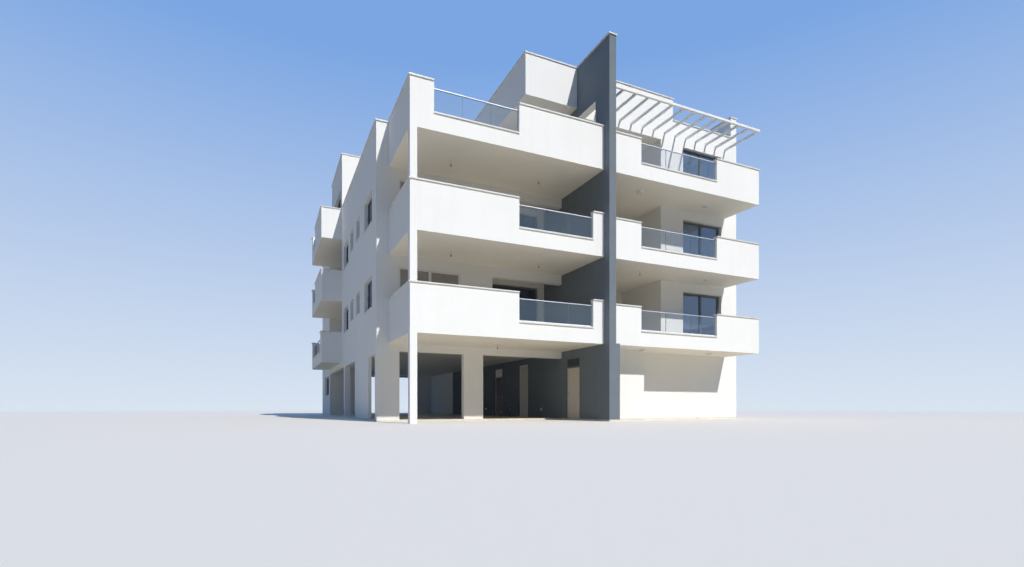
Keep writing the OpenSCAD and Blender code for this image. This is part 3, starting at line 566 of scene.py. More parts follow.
# The same coat on the steel door frames. The lobby's frame is painted over in the slate of its
# wall, so that only its leaf stands out.
DOOR_STEEL = Finish(
    "powder_coated_door_frame_steel",
    Slot.WHITE_METAL,
    WHITE_STEEL.colour,
    WHITE_STEEL.rough,
    (*WHITE_STEEL.layers, Layer(Stretch(1, -7700), SLATE.colour, 1.0, 0.3)),
)
# Powder coat in mid grey on the fixed window frames.
FRAME_ALU = powder_coat(
    "powder_coated_grey_aluminium", Slot.FRAME_METAL, "#75787A", 0.38, "#6B6E71"
)
# Powder coat in a darker grey on the sliding sashes, which makes two steps of tone in every window.
SASH_ALU = powder_coat(
    "powder_coated_dark_grey_aluminium", Slot.FRAME_METAL, "#5A5D60", 0.38, "#515457"
)
# Near-black powder coat on the interlocking stiles and the louvre: thin lines across the glass.
DARK_ALU = powder_coat(
    "powder_coated_black_aluminium", Slot.FRAME_METAL, "#303338", 0.4, "#3A3D42"
)
# Light powder coat on the frames of the insect screens, a little dusty.
SCREEN_ALU = powder_coat(
    "powder_coated_light_aluminium", Slot.FRAME_METAL, "#E9E8E5", 0.45, "#DBDAD6", cloud_mm=180
)
# Fibreglass insect mesh before the left front doors: a dull grey veil over the glass's shine.
MESH = Finish(
    "fibreglass_insect_mesh",
    Slot.FRAME_METAL,
    "#A5A19B",
    0.9,
    (Layer(Clouds(200, 0.4, 0.75, 5), "#98938C", 0.8),),
    alpha=0.94,
)
# Matt-etched, anodised aluminium of the handrails. The etch keeps the sun from glaring in it.
RAIL_ALU = brushed_metal("satin_anodised_aluminium", Slot.RAIL_METAL, "#C9CCD1", 0.5, "#C2C5C8")
# Brushed stainless steel of the levers, flanges and handles, darker and sharper than the aluminium.
STEEL = brushed_metal("brushed_stainless_steel", Slot.LEVER_METAL, "#B9BABA", 0.26, "#9C9EA0")
FLANGE_STEEL = replace(STEEL, slot=Slot.RAIL_METAL)
# Film of dust on every glass, and the slow waves that float glass puts into its reflections
DUST, WAVES = Clouds(700, 0.45, 0.95, 5), Clouds(900, 0.2, 0.8, 1)
# Double glazing with a metal-oxide solar coat. Almost closed to the eye, hard and glossy. Its dark
# blue base colour is painted shade that stands for the unlit rooms behind it, which are not built.
# The index is that of the coat's titanium oxide, which mirrors five times as much as bare glass does,
# and mirrors blue best.
WINDOW = Finish(
    "solar_glazing_with_painted_room_shade",
    Slot.WINDOW_GLASS,
    "#46546B",
    0.03,
    (Layer(DUST, "#5C6570", 0.4, 0.05), Layer(WAVES, height_mm=0.4)),
    alpha=0.92,
    ior=2.7,
    mirror="#D8EAFF",
)
# Laminated safety glass of the balconies: clear, with a cool tint that deepens what is behind.
RAIL_GLASS = Finish(
    "laminated_rail_glass",
    Slot.RAIL_GLASS,
    "#7F97B0",
    0.03,
    (Layer(DUST, "#A9B6C1", 0.5, 0.05), Layer(WAVES, height_mm=0.3)),
    alpha=0.13,
)
# Ground edge of that glass, where the iron in it shows as a thin grey-green line.
GLASS_EDGE = Finish(
    "ground_glass_edge",
    Slot.RAIL_GLASS,
    "#93A8A5",
    0.3,
    (Layer(Clouds(60, 0.3, 0.7, 3), "#A6B8B1", 0.6),),
    alpha=0.5,
)
# Lacquered door leaves in a broken white: upright grain under the paint, and a satin gloss.
DOOR_CREAM = Finish(
    "lacquered_door_leaf",
    Slot.DOOR_WHITE,
    "#CFC9BE",
    0.4,
    (
        Layer(Clouds(24, 0.3, 0.72, 8, (1, 1, 0.06)), "#C0B9AD", 0.6, 0.1, 0.15),
        Layer(Clouds(4, 0.2, 0.8, 3, (1, 1, 0.03)), height_mm=0.06),
    ),
)
# Stained hardwood of the store door: deep red brown, with darker grain and open pores.
DOOR_BROWN = Finish(
    "stained_hardwood_door_leaf",
    Slot.DOOR_RED,
    "#451A13",
    0.38,
    (
        Layer(Clouds(24, 0.3, 0.72, 8, (1, 1, 0.06)), "#260E0A", 0.9, 0.14, 0.2),
        Layer(Clouds(4, 0.3, 0.7, 3, (1, 1, 0.03)), "#200B08", 0.3, 0.1, -0.2),
    ),
)
# EPDM rubber round the panes: near black and dull, with faint chalking.
CHALK = Layer(Clouds(60, 0.2, 0.8, 4), "#35383B")
GASKET = Finish("epdm_gasket", Slot.FRAME_METAL, "#26282A", 0.7, (CHALK,))
RAIL_GASKET = replace(GASKET, slot=Slot.RAIL_METAL)
# Opal acrylic of the lamps: milky, smooth and unlit.
CAST = Layer(Clouds(70, 0.2, 0.8), "#E2E1DA")
OPAL = Finish("opal_acrylic", Slot.LAMP_WHITE, "#F0EFE9", 0.25, (CAST,))
# Moulded phenolic of the lamp holders: brown, with a dull shine.
FILLER = Layer(Clouds(12, 0.3, 0.7), "#97826A", 0.6, 0.08)
PHENOLIC = Finish("moulded_brown_phenolic", Slot.LAMP_WHITE, "#A89279", 0.45, (FILLER,))
# Honed limestone of the sills: pale, with soft veins, and less matt than the render under it.
LIMESTONE = Finish(
    "honed_limestone",
    Slot.CONCRETE,
    "#DFDBD2",
    0.55,
    (
        Layer(Clouds(140, 0.4, 0.75, 6), "#CDC8BC", 0.8, 0.1),
        Layer(Clouds(30, 0.2, 0.8, 4), height_mm=0.3),
    ),
)

# Finish of the frame's nodes in each slot, and of the nodes that have one of their own
METALS = (COPING, WHITE_STEEL, RAIL_ALU, FRAME_ALU, STEEL)
OTHERS = (WHITE, SLATE, CONCRETE, WINDOW, RAIL_GLASS, DOOR_CREAM, DOOR_BROWN, OPAL)
SLOT_FINISH = {finish.slot: finish for finish in METALS + OTHERS}
NODE_FINISH = {f"{storey}_floor_slab": FLOOR for storey in ("first", "second", "third")}
NODE_FINISH |= {"roof_slab": ROOF, "door_frames": DOOR_STEEL}


# Measures of the frame


@dataclass(frozen=True)
class Box:
    """Axis-aligned box of one solid of the frame, in metres."""

    low: Vector
    high: Vector

    @classmethod
    def around(cls, points: Sequence[Vector]) -> Box:
        """Returns the box round some points."""
        return cls(*(Vector([pick(p[i] for p in points) for i in range(3)]) for pick in (min, max)))

    @property
    def size(self) -> Vector:
        """Size along X, Y and Z."""
        return self.high - self.low

    @property
    def centre(self) -> Vector:
        """Middle of the box."""
        return (self.low + self.high) / 2

    @property
    def runs_x(self) -> bool:
        """Whether the box is longer along X than along Y."""
        return self.size.x > self.size.y

    def holds(self, point: Vector) -> bool:
        """Says whether a point lies in the box, or within a millimetre of it."""
        return all(self.low[i] - MM <= point[i] <= self.high[i] + MM for i in range(3))


def islands(mesh: bpy.types.Mesh) -> list[Box]:
    """Finds the separate solids of a node's mesh of loose triangles.

    Args:
        mesh: Mesh of a CAD node.

    Returns:
        One box per solid, in a fixed order from low to high.
    """
    keys = [tuple(round(c * 10**DIGITS) for c in v.co) for v in mesh.vertices]
    parent: dict[tuple[int, ...], tuple[int, ...]] = {k: k for k in keys}

    def root(key: tuple[int, ...]) -> tuple[int, ...]:
        """Follows a corner to the first corner of its solid.

        Args:
            key: Rounded place of a corner.

        Returns:
            Rounded place of the first corner.
        """
        while parent[key] != key:
            parent[key] = parent[parent[key]]
            key = parent[key]
        return key

    for polygon in mesh.polygons:
        first, *rest = (root(keys[i]) for i in polygon.vertices)
        for other in rest:
            parent[root(other)] = root(first)
    groups: dict[tuple[int, ...], list[Vector]] = {}
    for key, vertex in zip(keys, mesh.vertices):
        groups.setdefault(root(key), []).append(vertex.co)
    boxes = [Box.around(group) for group in groups.values()]
    return sorted(boxes, key=lambda b: tuple(round(b.low[i], ORDER_DIGITS) for i in (2, 1, 0)))


class Frame:
    """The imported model, with the measures that the pieces need."""

    def __init__(self) -> None:
        """Loads the model and keeps its boxes."""
        self.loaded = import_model()
        self.nodes: dict[str, Piece] = self.loaded["nodes"]
        self.cad_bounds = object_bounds()

    def solids(self, node: str) -> list[Box]:
        """Returns the solids of one node."""
        return islands(self.nodes[node].data)

    def box(self, node: str) -> Box:
        """Returns the box of one node."""
        return Box(*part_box(node))

    def points(self, node: str) -> list[Vector]:
        """Returns the corners of one node."""
        return [v.co for v in self.nodes[node].data.vertices]

    def tree(self, names: Iterable[str]) -> BVHTree:
        """Builds a search tree over several nodes.

        Args:
            names: Names of the nodes.

        Returns:
            The tree.
        """
        points: list[Vector] = []
        faces: list[tuple[int, ...]] = []
        for name in names:
            start = len(points)
            points += [p.copy() for p in self.points(name)]
            faces += [tuple(start + i for i in p.vertices) for p in self.nodes[name].data.polygons]
        return BVHTree.FromPolygons(points, faces)


# Meshes


def placed(origin: Vector, along: Vector, out: Vector) -> Matrix:
    """Makes a matrix whose X runs along, Y runs out and Z is up.

    Args:
        origin: Point that the local origin goes to.
        along: Direction of the local X axis.
        out: Direction of the local Y axis.

    Returns:
        The matrix from local to model coordinates.
    """
    made = Matrix((along, out, UP)).transposed().to_4x4()
    made.translation = origin
    return made


def linked(name: str, data: Any) -> Piece:
    """Makes an object at the origin and links it to the scene.

    Args:
        name: Name of the object.
        data: Its mesh, lamp or camera.

    Returns:
        The object.
    """
    made = bpy.data.objects.new(name, data)
    bpy.context.scene.collection.objects.link(made)
    return made


def dress(made: Piece, finish: Finish, body: Body = Body.BUILDING) -> Piece:
    """Gives a piece its finish, and lets it ride.

    Args:
        made: The new object, at the origin.
        finish: Finish that it shows.
        body: Body that it moves with.

    Returns:
        The same object.
    """
    made.data.materials.clear()
    made.data.materials.append(finish.material())
    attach(made, body.value)
    LOG.info("piece %-28s %6d faces on %s", made.name, len(made.data.polygons), body.value)
    return made


# Signs of a square's corners, in the order that runs round it
CORNERS = ((-1, -1), (1, -1), (1, 1), (-1, 1))
# Most that a chamfer takes of half a side
WIDEST_CHAMFER = 0.45


class Shape:
    """Collects the solids of one piece, and makes the piece of them."""

    def __init__(self) -> None:
        """Starts empty."""
        self.bm = bmesh.new()

    def loft(self, loops: Sequence[Sequence[Vector]], closed: bool = False) -> None:
        """Joins loops of points, one after the other.

        Args:
            loops: Loops with the same number of points.
            closed: Whether the last loop joins the first. Otherwise both ends get a cap.
        """
        rows = [[self.bm.verts.new(p) for p in loop] for loop in loops]
        count = len(rows[0])
        pairs = list(zip(rows, rows[1:])) + ([(rows[-1], rows[0])] if closed else [])
        for a, b in pairs:
            for i in range(count):
                j = (i + 1) % count
                self.bm.faces.new((a[i], a[j], b[j], b[i]))
        if not closed:
            self.bm.faces.new(list(reversed(rows[0])))
            self.bm.faces.new(rows[-1])

    def ring(self, place: Matrix, width: float, height: float, profile: Pairs) -> None:
        """Adds a mitred picture frame.

        Args:
            place: Matrix whose origin is the middle of the frame.
            width: Outer width.
            height: Outer height.
            profile: Closed outline as (inset from the outer edge, depth outwards).
        """
        loops = []
        for inset, out in profile:
            u, v = width / 2 - inset, height / 2 - inset
            loops.append([place @ Vector((a * u, out, b * v)) for a, b in CORNERS])
        self.loft(loops, closed=True)

    def prism(self, place: Matrix, start: float, end: float, outline: Pairs) -> None:
        """Adds an outline in Y and Z, run along X from start to end."""
        self.loft([[place @ Vector((x, y, z)) for y, z in outline] for x in (start, end)])

    def block(
        self, place: Matrix, size: Sequence[float], centre: Sequence[float], edge: float = 0
    ) -> None:
        """Adds a block with chamfered long edges.

        Args:
            place: Matrix from local to model coordinates.
            size: Size along X, Y and Z.
            centre: Middle of the block.
            edge: Width of the chamfer, which takes less than half of a thin side.
        """
        y, z = size[1] / 2, size[2] / 2
        e = min(edge, y * WIDEST_CHAMFER, z * WIDEST_CHAMFER)
        outline = [(-y, -z), (-y, z), (y, z), (y, -z)]
        if e > 0:
            outline = [(-y, -z + e), (-y, z - e), (-y + e, z), (y - e, z)]
            outline += [(y, z - e), (y, -z + e), (y - e, -z), (-y + e, -z)]
        moved = [(centre[1] + a, centre[2] + b) for a, b in outline]
        self.prism(place, centre[0] - size[0] / 2, centre[0] + size[0] / 2, moved)

    def lathe(self, place: Matrix, outline: Pairs, steps: int) -> None:
        """Adds a turned solid round the local Y axis.

        Args:
            place: Matrix whose origin is on the axis.
            outline: Points as (radius, distance outwards), from the base to the tip.
            steps: Number of facets round the axis.
        """
        turns = [2 * math.pi * i / steps for i in range(steps)]
        rim = [(math.cos(a), math.sin(a)) for a in turns]
        self.loft([[place @ Vector((r * x, out, r * z)) for x, z in rim] for r, out in outline])

    def mesh(self, name: str) -> bpy.types.Mesh:
        """Turns the solids into a mesh with its faces outwards, after which the shape is spent.

        Args:
            name: Name of the mesh.

        Returns:
            The mesh.
        """
        bmesh.ops.recalc_face_normals(self.bm, faces=self.bm.faces)
        made = bpy.data.meshes.new(name)
        self.bm.to_mesh(made)
        self.bm.free()
        return made

    def finish(self, name: str, finish: Finish, body: Body = Body.BUILDING) -> Piece:
        """Makes the piece and dresses it."""
        return dress(linked(name, self.mesh(name)), finish, body)


# Geometry Nodes trees


# Facets of a bar's rounded corner
CORNER_FACETS = 3


class Grower:
    """Geometry Nodes trees for what repeats, and what makes plain meshes of their results."""

    def __init__(self) -> None:
        """Builds the three trees."""
        self.bars = self._bars()
        self.row = self._row()
        self.fittings = self._fittings()

    @staticmethod
    def _tree(name: str, **kinds: str) -> tuple[Tree, Any]:
        """Starts a tree that takes a geometry, some inputs and a finish.

        Args:
            name: Name of the tree.
            **kinds: Kind of socket of each named input.

        Returns:
            The tree and the outputs of its input node.
        """
        tree = bpy.data.node_groups.new(name, "GeometryNodeTree")
        for label, kind in {"Geometry": "Geometry", **kinds, "Finish": "Material"}.items():
            tree.interface.new_socket(label, in_out="INPUT", socket_type=f"NodeSocket{kind}")
        tree.interface.new_socket("Geometry", in_out="OUTPUT", socket_type="NodeSocketGeometry")
        return tree, add(tree, "NodeGroupInput").outputs

    @staticmethod
    def _end(tree: Tree, geometry: Any, into: Any) -> Tree:
        """Ends a tree in Realize Instances and Set Material.

        Args:
            tree: The tree.
            geometry: What it has made.
            into: Outputs of its input node.

        Returns:
            The same tree.
        """
        real = add(tree, "GeometryNodeRealizeInstances", {"Geometry": geometry})
        done = add(tree, "GeometryNodeSetMaterial", {"Geometry": real, "Material": into["Finish"]})
        add(tree, "NodeGroupOutput", {0: done})
        return tree

    @staticmethod
    def _bar(tree: Tree, line: Any, into: Any) -> Any:
        """Runs a rectangle with round corners along a line.

        Args:
            tree: Node tree that gets the nodes.
            line: Curve that the bar follows.
            into: Outputs of the tree's input node, with Width, Height and Corner among them.

        Returns:
            The last node.
        """
        upright = add(tree, "GeometryNodeSetCurveNormal", {"Curve": line}, mode="Z_UP")
        inputs = {"Width": into["Width"], "Height": into["Height"]}
        outline = add(tree, "GeometryNodeCurvePrimitiveQuadrilateral", inputs)
        inputs = {"Curve": outline, "Radius": into["Corner"], "Count": CORNER_FACETS}
        rounded = add(tree, "GeometryNodeFilletCurve", inputs, mode="POLY")
        inputs = {"Curve": upright, "Profile Curve": rounded, "Fill Caps": True}
        return add(tree, "GeometryNodeCurveToMesh", inputs)

    def _bars(self) -> Tree:
        """Builds the tree that runs a bar along every edge of a mesh.

        Returns:
            The tree.
        """
        tree, into = self._tree("bars_on_edges", Width="Float", Height="Float", Corner="Float")
        split = add(tree, "GeometryNodeSplitEdges", {"Mesh": into["Geometry"]})
        line = add(tree, "GeometryNodeMeshToCurve", {"Mesh": split})
        return self._end(tree, self._bar(tree, line, into), into)

    def _row(self) -> Tree:
        """Builds the tree that sets equal bars side by side.

        Returns:
            The tree.
        """
        kinds = {"Count": "Int"} | {label: "Vector" for label in ("Start", "Step", "Span")}
        kinds |= {label: "Float" for label in ("Width", "Height", "Corner")}
        tree, into = self._tree("row_of_bars", **kinds)
        inputs = {"Count": into["Count"], "Start Location": into["Start"], "Offset": into["Step"]}
        points = add(tree, "GeometryNodeMeshLine", inputs, mode="OFFSET")
        line = add(tree, "GeometryNodeCurvePrimitiveLine", {"End": into["Span"]})
        inputs = {"Points": points, "Instance": self._bar(tree, line, into)}
        copies = add(tree, "GeometryNodeInstanceOnPoints", inputs)
        return self._end(tree, copies, into)

    def _fittings(self) -> Tree:
        """Builds the tree that sets a fitting on every point, turned and stretched as it says.

        Returns:
            The tree.
        """
        tree, into = self._tree("fittings_on_points", Fitting="Object")
        fitting = add(tree, "GeometryNodeObjectInfo", {"Object": into["Fitting"]})
        turn, stretch = (
            add(tree, "GeometryNodeInputNamedAttribute", {"Name": name}, data_type="FLOAT_VECTOR")
            for name in ("turn", "stretch")
        )
        inputs = {"Points": into["Geometry"], "Instance": fitting.outputs["Geometry"]}
        inputs["Scale"] = stretch
        inputs["Rotation"] = add(tree, "FunctionNodeEulerToRotation", {0: turn})
        return self._end(tree, add(tree, "GeometryNodeInstanceOnPoints", inputs), into)

    @staticmethod
    def grow(
        name: str, base: bpy.types.Mesh, tree: Tree, values: dict[str, Any], finish: Finish
    ) -> Piece:
        """Runs a tree on a base mesh, and makes a piece of its result, as a plain mesh.

        Args:
            name: Name of the piece.
            base: Mesh that the tree reads.
            tree: One of the trees of this class.
            values: Value of each named input but the finish.
            finish: Finish that it shows.

        Returns:
            The piece.
        """
        carrier = linked(name + "_base", base)
        modifier = carrier.modifiers.new("grow", "NODES")
        modifier.node_group = tree
        values = {**values, "Finish": finish.material()}
        for item in tree.interface.items_tree:
            if item.in_out == "INPUT" and item.name in values:
                modifier[item.identifier] = values[item.name]
        graph = bpy.context.evaluated_depsgraph_get()
        mesh = bpy.data.meshes.new_from_object(carrier.evaluated_get(graph))
        mesh.name = name
        carrier.modifiers.remove(modifier)
        bpy.data.objects.remove(carrier)
        return dress(linked(name, mesh), finish)

    def bars_along(
        self, name: str, lines: Sequence[Line], size: Pair, corner: float, finish: Finish
    ) -> Piece:
        """Runs a bar with round corners along each line.

        Args:
            name: Name of the piece.
            lines: Start and end of each bar's middle line.
            size: Width across and height of the bar.
            corner: Radius of its corners.
            finish: Finish that it shows.

        Returns:
            The piece.
        """
        mesh = bpy.data.meshes.new(name + "_lines")
        edges = [(2 * i, 2 * i + 1) for i in range(len(lines))]
        mesh.from_pydata([p for line in lines for p in line], edges, [])
        values = {"Width": size[0], "Height": size[1], "Corner": corner}
        return self.grow(name, mesh, self.bars, values, finish)

    def fit(self, name: str, fitting: Shape, places: Sequence[Matrix], finish: Finish) -> Piece:
        """Sets one fitting at every place.

        Args:
            name: Name of the piece.
            fitting: Shape of one fitting round the local origin.
            places: Matrix of each copy, which may stretch it.
            finish: Finish that it shows.

        Returns:
            The piece.
        """
        source = linked(name + "_one", fitting.mesh(name + "_one"))
        mesh = bpy.data.meshes.new(name + "_points")
        mesh.from_pydata([p.translation for p in places], [], [])
        for label, read in (("turn", Matrix.to_euler), ("stretch", Matrix.to_scale)):
            values = mesh.attributes.new(label, "FLOAT_VECTOR", "POINT").data
            for value, place in zip(values, places):
                value.vector = read(place)
        made = self.grow(name, mesh, self.fittings, {"Fitting": source}, finish)
        bpy.data.objects.remove(source)
        return made


# Sub-assemblies


@dataclass
class Assembly:
    """What every sub-assembly works with. Sizes are in metres."""

    frame: Frame
    grower: Grower

    def build(self) -> None:
        """Makes and dresses the pieces."""
        raise NotImplementedError


@dataclass
class Masonry(Assembly):
    """Walls, slabs, parapets and everything else whose shape the frame already has."""

    def build(self) -> None:
        """Gives every node the finish of its slot, or its own."""
        for part in self.frame.loaded["record"]["subparts"]:
            finish = NODE_FINISH.get(part["node"], SLOT_FINISH[Slot(part["material_slot"])])
            mesh = self.frame.nodes[part["node"]].data
            mesh.materials.clear()
            mesh.materials.append(finish.material())
        LOG.info("dressed %d nodes", len(self.frame.nodes))


# Storeys whose left front doors have insect screens, and the finish of each piece round the windows
SCREENED = (Storey.FIRST, Storey.SECOND)
WINDOW_FINISH = {
    "sashes": SASH_ALU,
    "gaskets": GASKET,
    "interlocks": DARK_ALU,
    "window_handles": STEEL,
    "sills": LIMESTONE,
    "screen_frames": SCREEN_ALU,
    "screens": MESH,
}


@dataclass
class Windows(Assembly):
    """Sashes, gaskets, handles, sills and thresholds of every window and sliding door."""

    walls: BVHTree = field(init=False)
    rear_from: float = field(init=False)  # Y from which a frame stands in the rear wall
    door_from: float = 2.2  # height from which an opening is a door
    sash_w: float = 0.036
    sash_out: float = 0.020
    sash_edge: float = 0.004
    track_step: float = 0.010  # how much further every second sash stands out
    gasket_w: float = 0.007
    gasket_out: float = 0.003
    interlock: Pair = (0.022, 0.004)
    interlock_short: float = 0.01
    handle_z: float = 1.05
    door_handle: float = 0.22
    window_handle: float = 0.11
    grip: Pair = (0.014, 0.010)
    grip_out: float = 0.026
    foot: Size = (0.012, 0.022, 0.012)
    foot_at: float = 0.4  # distance of a handle's feet from its middle, in lengths of the handle
    wall_above: float = 0.03  # height over the frame at which the wall's face is looked for
    sill_nose: float = 0.025
    sill_t: float = 0.025
    nose_t: float = 0.012
    drip: float = 0.016
    drip_gap: float = 0.002  # between the wall and the drip
    threshold: Pair = (0.020, 0.010)
    left_to: float = -3.5  # X up to which a front door is one of the left ones, which have screens
    screen_bar: float = 0.075
    screen_deep: float = 0.022
    screen_back: float = 0.078  # how far the inner screen stands before the frame
    screen_step: float = 1.2  # how much further the outer one stands, in depths of its bars
    cross_bar: float = 0.12  # how far its cross bar lies under the middle, in heights of the door
    mesh_t: float = 0.002
    mesh_at: float = 0.6  # where it lies, in depths of the bars

    def build(self) -> None:
        """Builds one set of pieces for each storey."""
        names = [n for n in self.frame.nodes if n.endswith(("_walls", "_wall"))]
        self.walls = self.frame.tree(sorted(names))
        self.rear_from = self.frame.box("third_rear_wall").low.y - MM
        for storey in Storey:
            self.build_storey(storey)

    def outward(self, box: Box) -> Vector:
        """Finds which way a frame looks.

        Args:
            box: Box of a window frame.

        Returns:
            Direction outwards.
        """
        if box.runs_x:
            return BACK if box.centre.y > self.rear_from else -BACK
        return RIGHT if box.centre.x > 0 else -RIGHT

    def build_storey(self, storey: Storey) -> None:
        """Builds the pieces of one storey.

        Args:
            storey: Storey whose frames and panes are read.
        """
        parts = [part for part in WINDOW_FINISH if storey in SCREENED or "screen" not in part]
        shapes = {part: Shape() for part in parts}
        panes = self.frame.solids(f"{storey.value}_glazing")
        for box in self.frame.solids(f"{storey.value}_window_frames"):
            out = self.outward(box)
            along = out.cross(UP)
            width, depth = abs(box.size.dot(along)), abs(box.size.dot(out))
            front = box.centre + out * depth / 2
            own = [p for p in panes if box.holds(p.centre)]
            own.sort(key=lambda p: p.centre.dot(along))
            for index, pane in enumerate(own):
                face = placed(pane.centre + out * abs(pane.size.dot(out)) / 2, along, out)
                size = (abs(pane.size.dot(along)), pane.size.z, box.size.z)
                self.leaf(shapes, face, size, index, len(own))
            probe = Vector((front.x, front.y, box.high.z + self.wall_above))
            hit = self.walls.ray_cast(probe - out * depth / 2, out)[0]
            reach = (hit - probe).dot(out) if hit else 0.0
            foot = placed(Vector((front.x, front.y, box.low.z)), along, out)
            shapes["sills"].prism(foot, -width / 2, width / 2, self.sill(reach, box.size.z))
            if storey in SCREENED and out.y < 0 and box.high.x < self.left_to:
                self.screen(shapes, placed(front, along, out), width, box.size.z)
        for part, shape in shapes.items():
            shape.finish(f"{storey.value}_{part}", WINDOW_FINISH[part])

    def screen(self, shapes: dict[str, Shape], place: Matrix, width: float, height: float) -> None:
        """Adds the two sliding insect screens of one door.

        Args:
            shapes: Shapes of the pieces.
            place: Matrix whose origin is the middle of the door frame's outer face.
            width: Width of the door.
            height: Height of the door.
        """
        bar, deep, inner = self.screen_bar, self.screen_deep, width / 2 - self.screen_bar
        profile = [(0, 0), (0, deep), (bar, deep), (bar, 0)]
        for side in (-1, 1):
            out = self.screen_back + max(0, side) * deep * self.screen_step
            half = place @ Matrix.Translation(Vector((side * width / 4, out, 0)))
            shapes["screen_frames"].ring(half, width / 2 + bar / 2, height, profile)
            middle = (0, deep / 2, -height * self.cross_bar)
            shapes["screen_frames"].block(half, (inner, deep, bar), middle, edge=3 * MM)
            middle = (0, deep * self.mesh_at, 0)
            shapes["screens"].block(half, (inner, self.mesh_t, height - bar), middle)

    def leaf(
        self, shapes: dict[str, Shape], place: Matrix, size: Size, index: int, count: int
    ) -> None:
        """Adds the sash, gasket, interlock and handle of one pane.

        Args:
            shapes: Shapes of the pieces.
            place: Matrix whose origin is the middle of the pane's outer face.
            size: Width of the pane, height of the pane and height of its opening.
            index: Number of the pane in its opening.
            count: Number of panes there.
        """
        width, height, opening = size
        depth = self.sash_out + self.track_step * (index % 2)
        bar, corner = self.sash_w, self.sash_edge
        profile = [(0, 0), (0, depth), (bar - corner, depth), (bar, depth - corner), (bar, 0)]
        shapes["sashes"].ring(place, width, height, profile)
        inner, soft = bar + self.gasket_w, self.gasket_out
        profile = [(bar, 0), (bar, soft * 2), (inner, soft), (inner, 0)]
        shapes["gaskets"].ring(place, width, height, profile)
        side = 1 if index == 0 else -1
        if count > 1:
            w, t = self.interlock
            centre = (side * (width / 2 - w / 2), depth + t / 2, 0)
            long = height - self.interlock_short
            shapes["interlocks"].block(place, (w, t, long), centre, edge=MM)
        door = opening > self.door_from
        length = self.door_handle if door else self.window_handle
        at = self.handle_z - height / 2 if door else 0.0
        u = -side * (width / 2 - bar / 2)
        out = depth + self.foot[1] / 2
        for end in (-1, 1):
            centre = (u, out, at + end * length * self.foot_at)
            shapes["window_handles"].block(place, self.foot, centre, edge=2 * MM)
        centre = (u, depth + self.grip_out, at)
        shapes["window_handles"].block(place, (*self.grip, length), centre, edge=3 * MM)

    def sill(self, reach: float, height: float) -> Pairs:
        """Draws the sloping sill of a window, or the threshold of a door.

        Args:
            reach: Distance from the frame to the face of the wall.
            height: Height of the opening.

        Returns:
            Outline as (distance outwards, height).
        """
        if height > self.door_from:
            return [(0, 0), (reach, 0), (reach, self.threshold[1]), (0, self.threshold[0])]
        back, nose = reach + self.drip_gap, reach + self.sill_nose
        outline = [(0, 0), (back, 0), (back, -self.drip), (nose, -self.drip), (nose, self.nose_t)]
        return [*outline, (0, self.sill_t)]


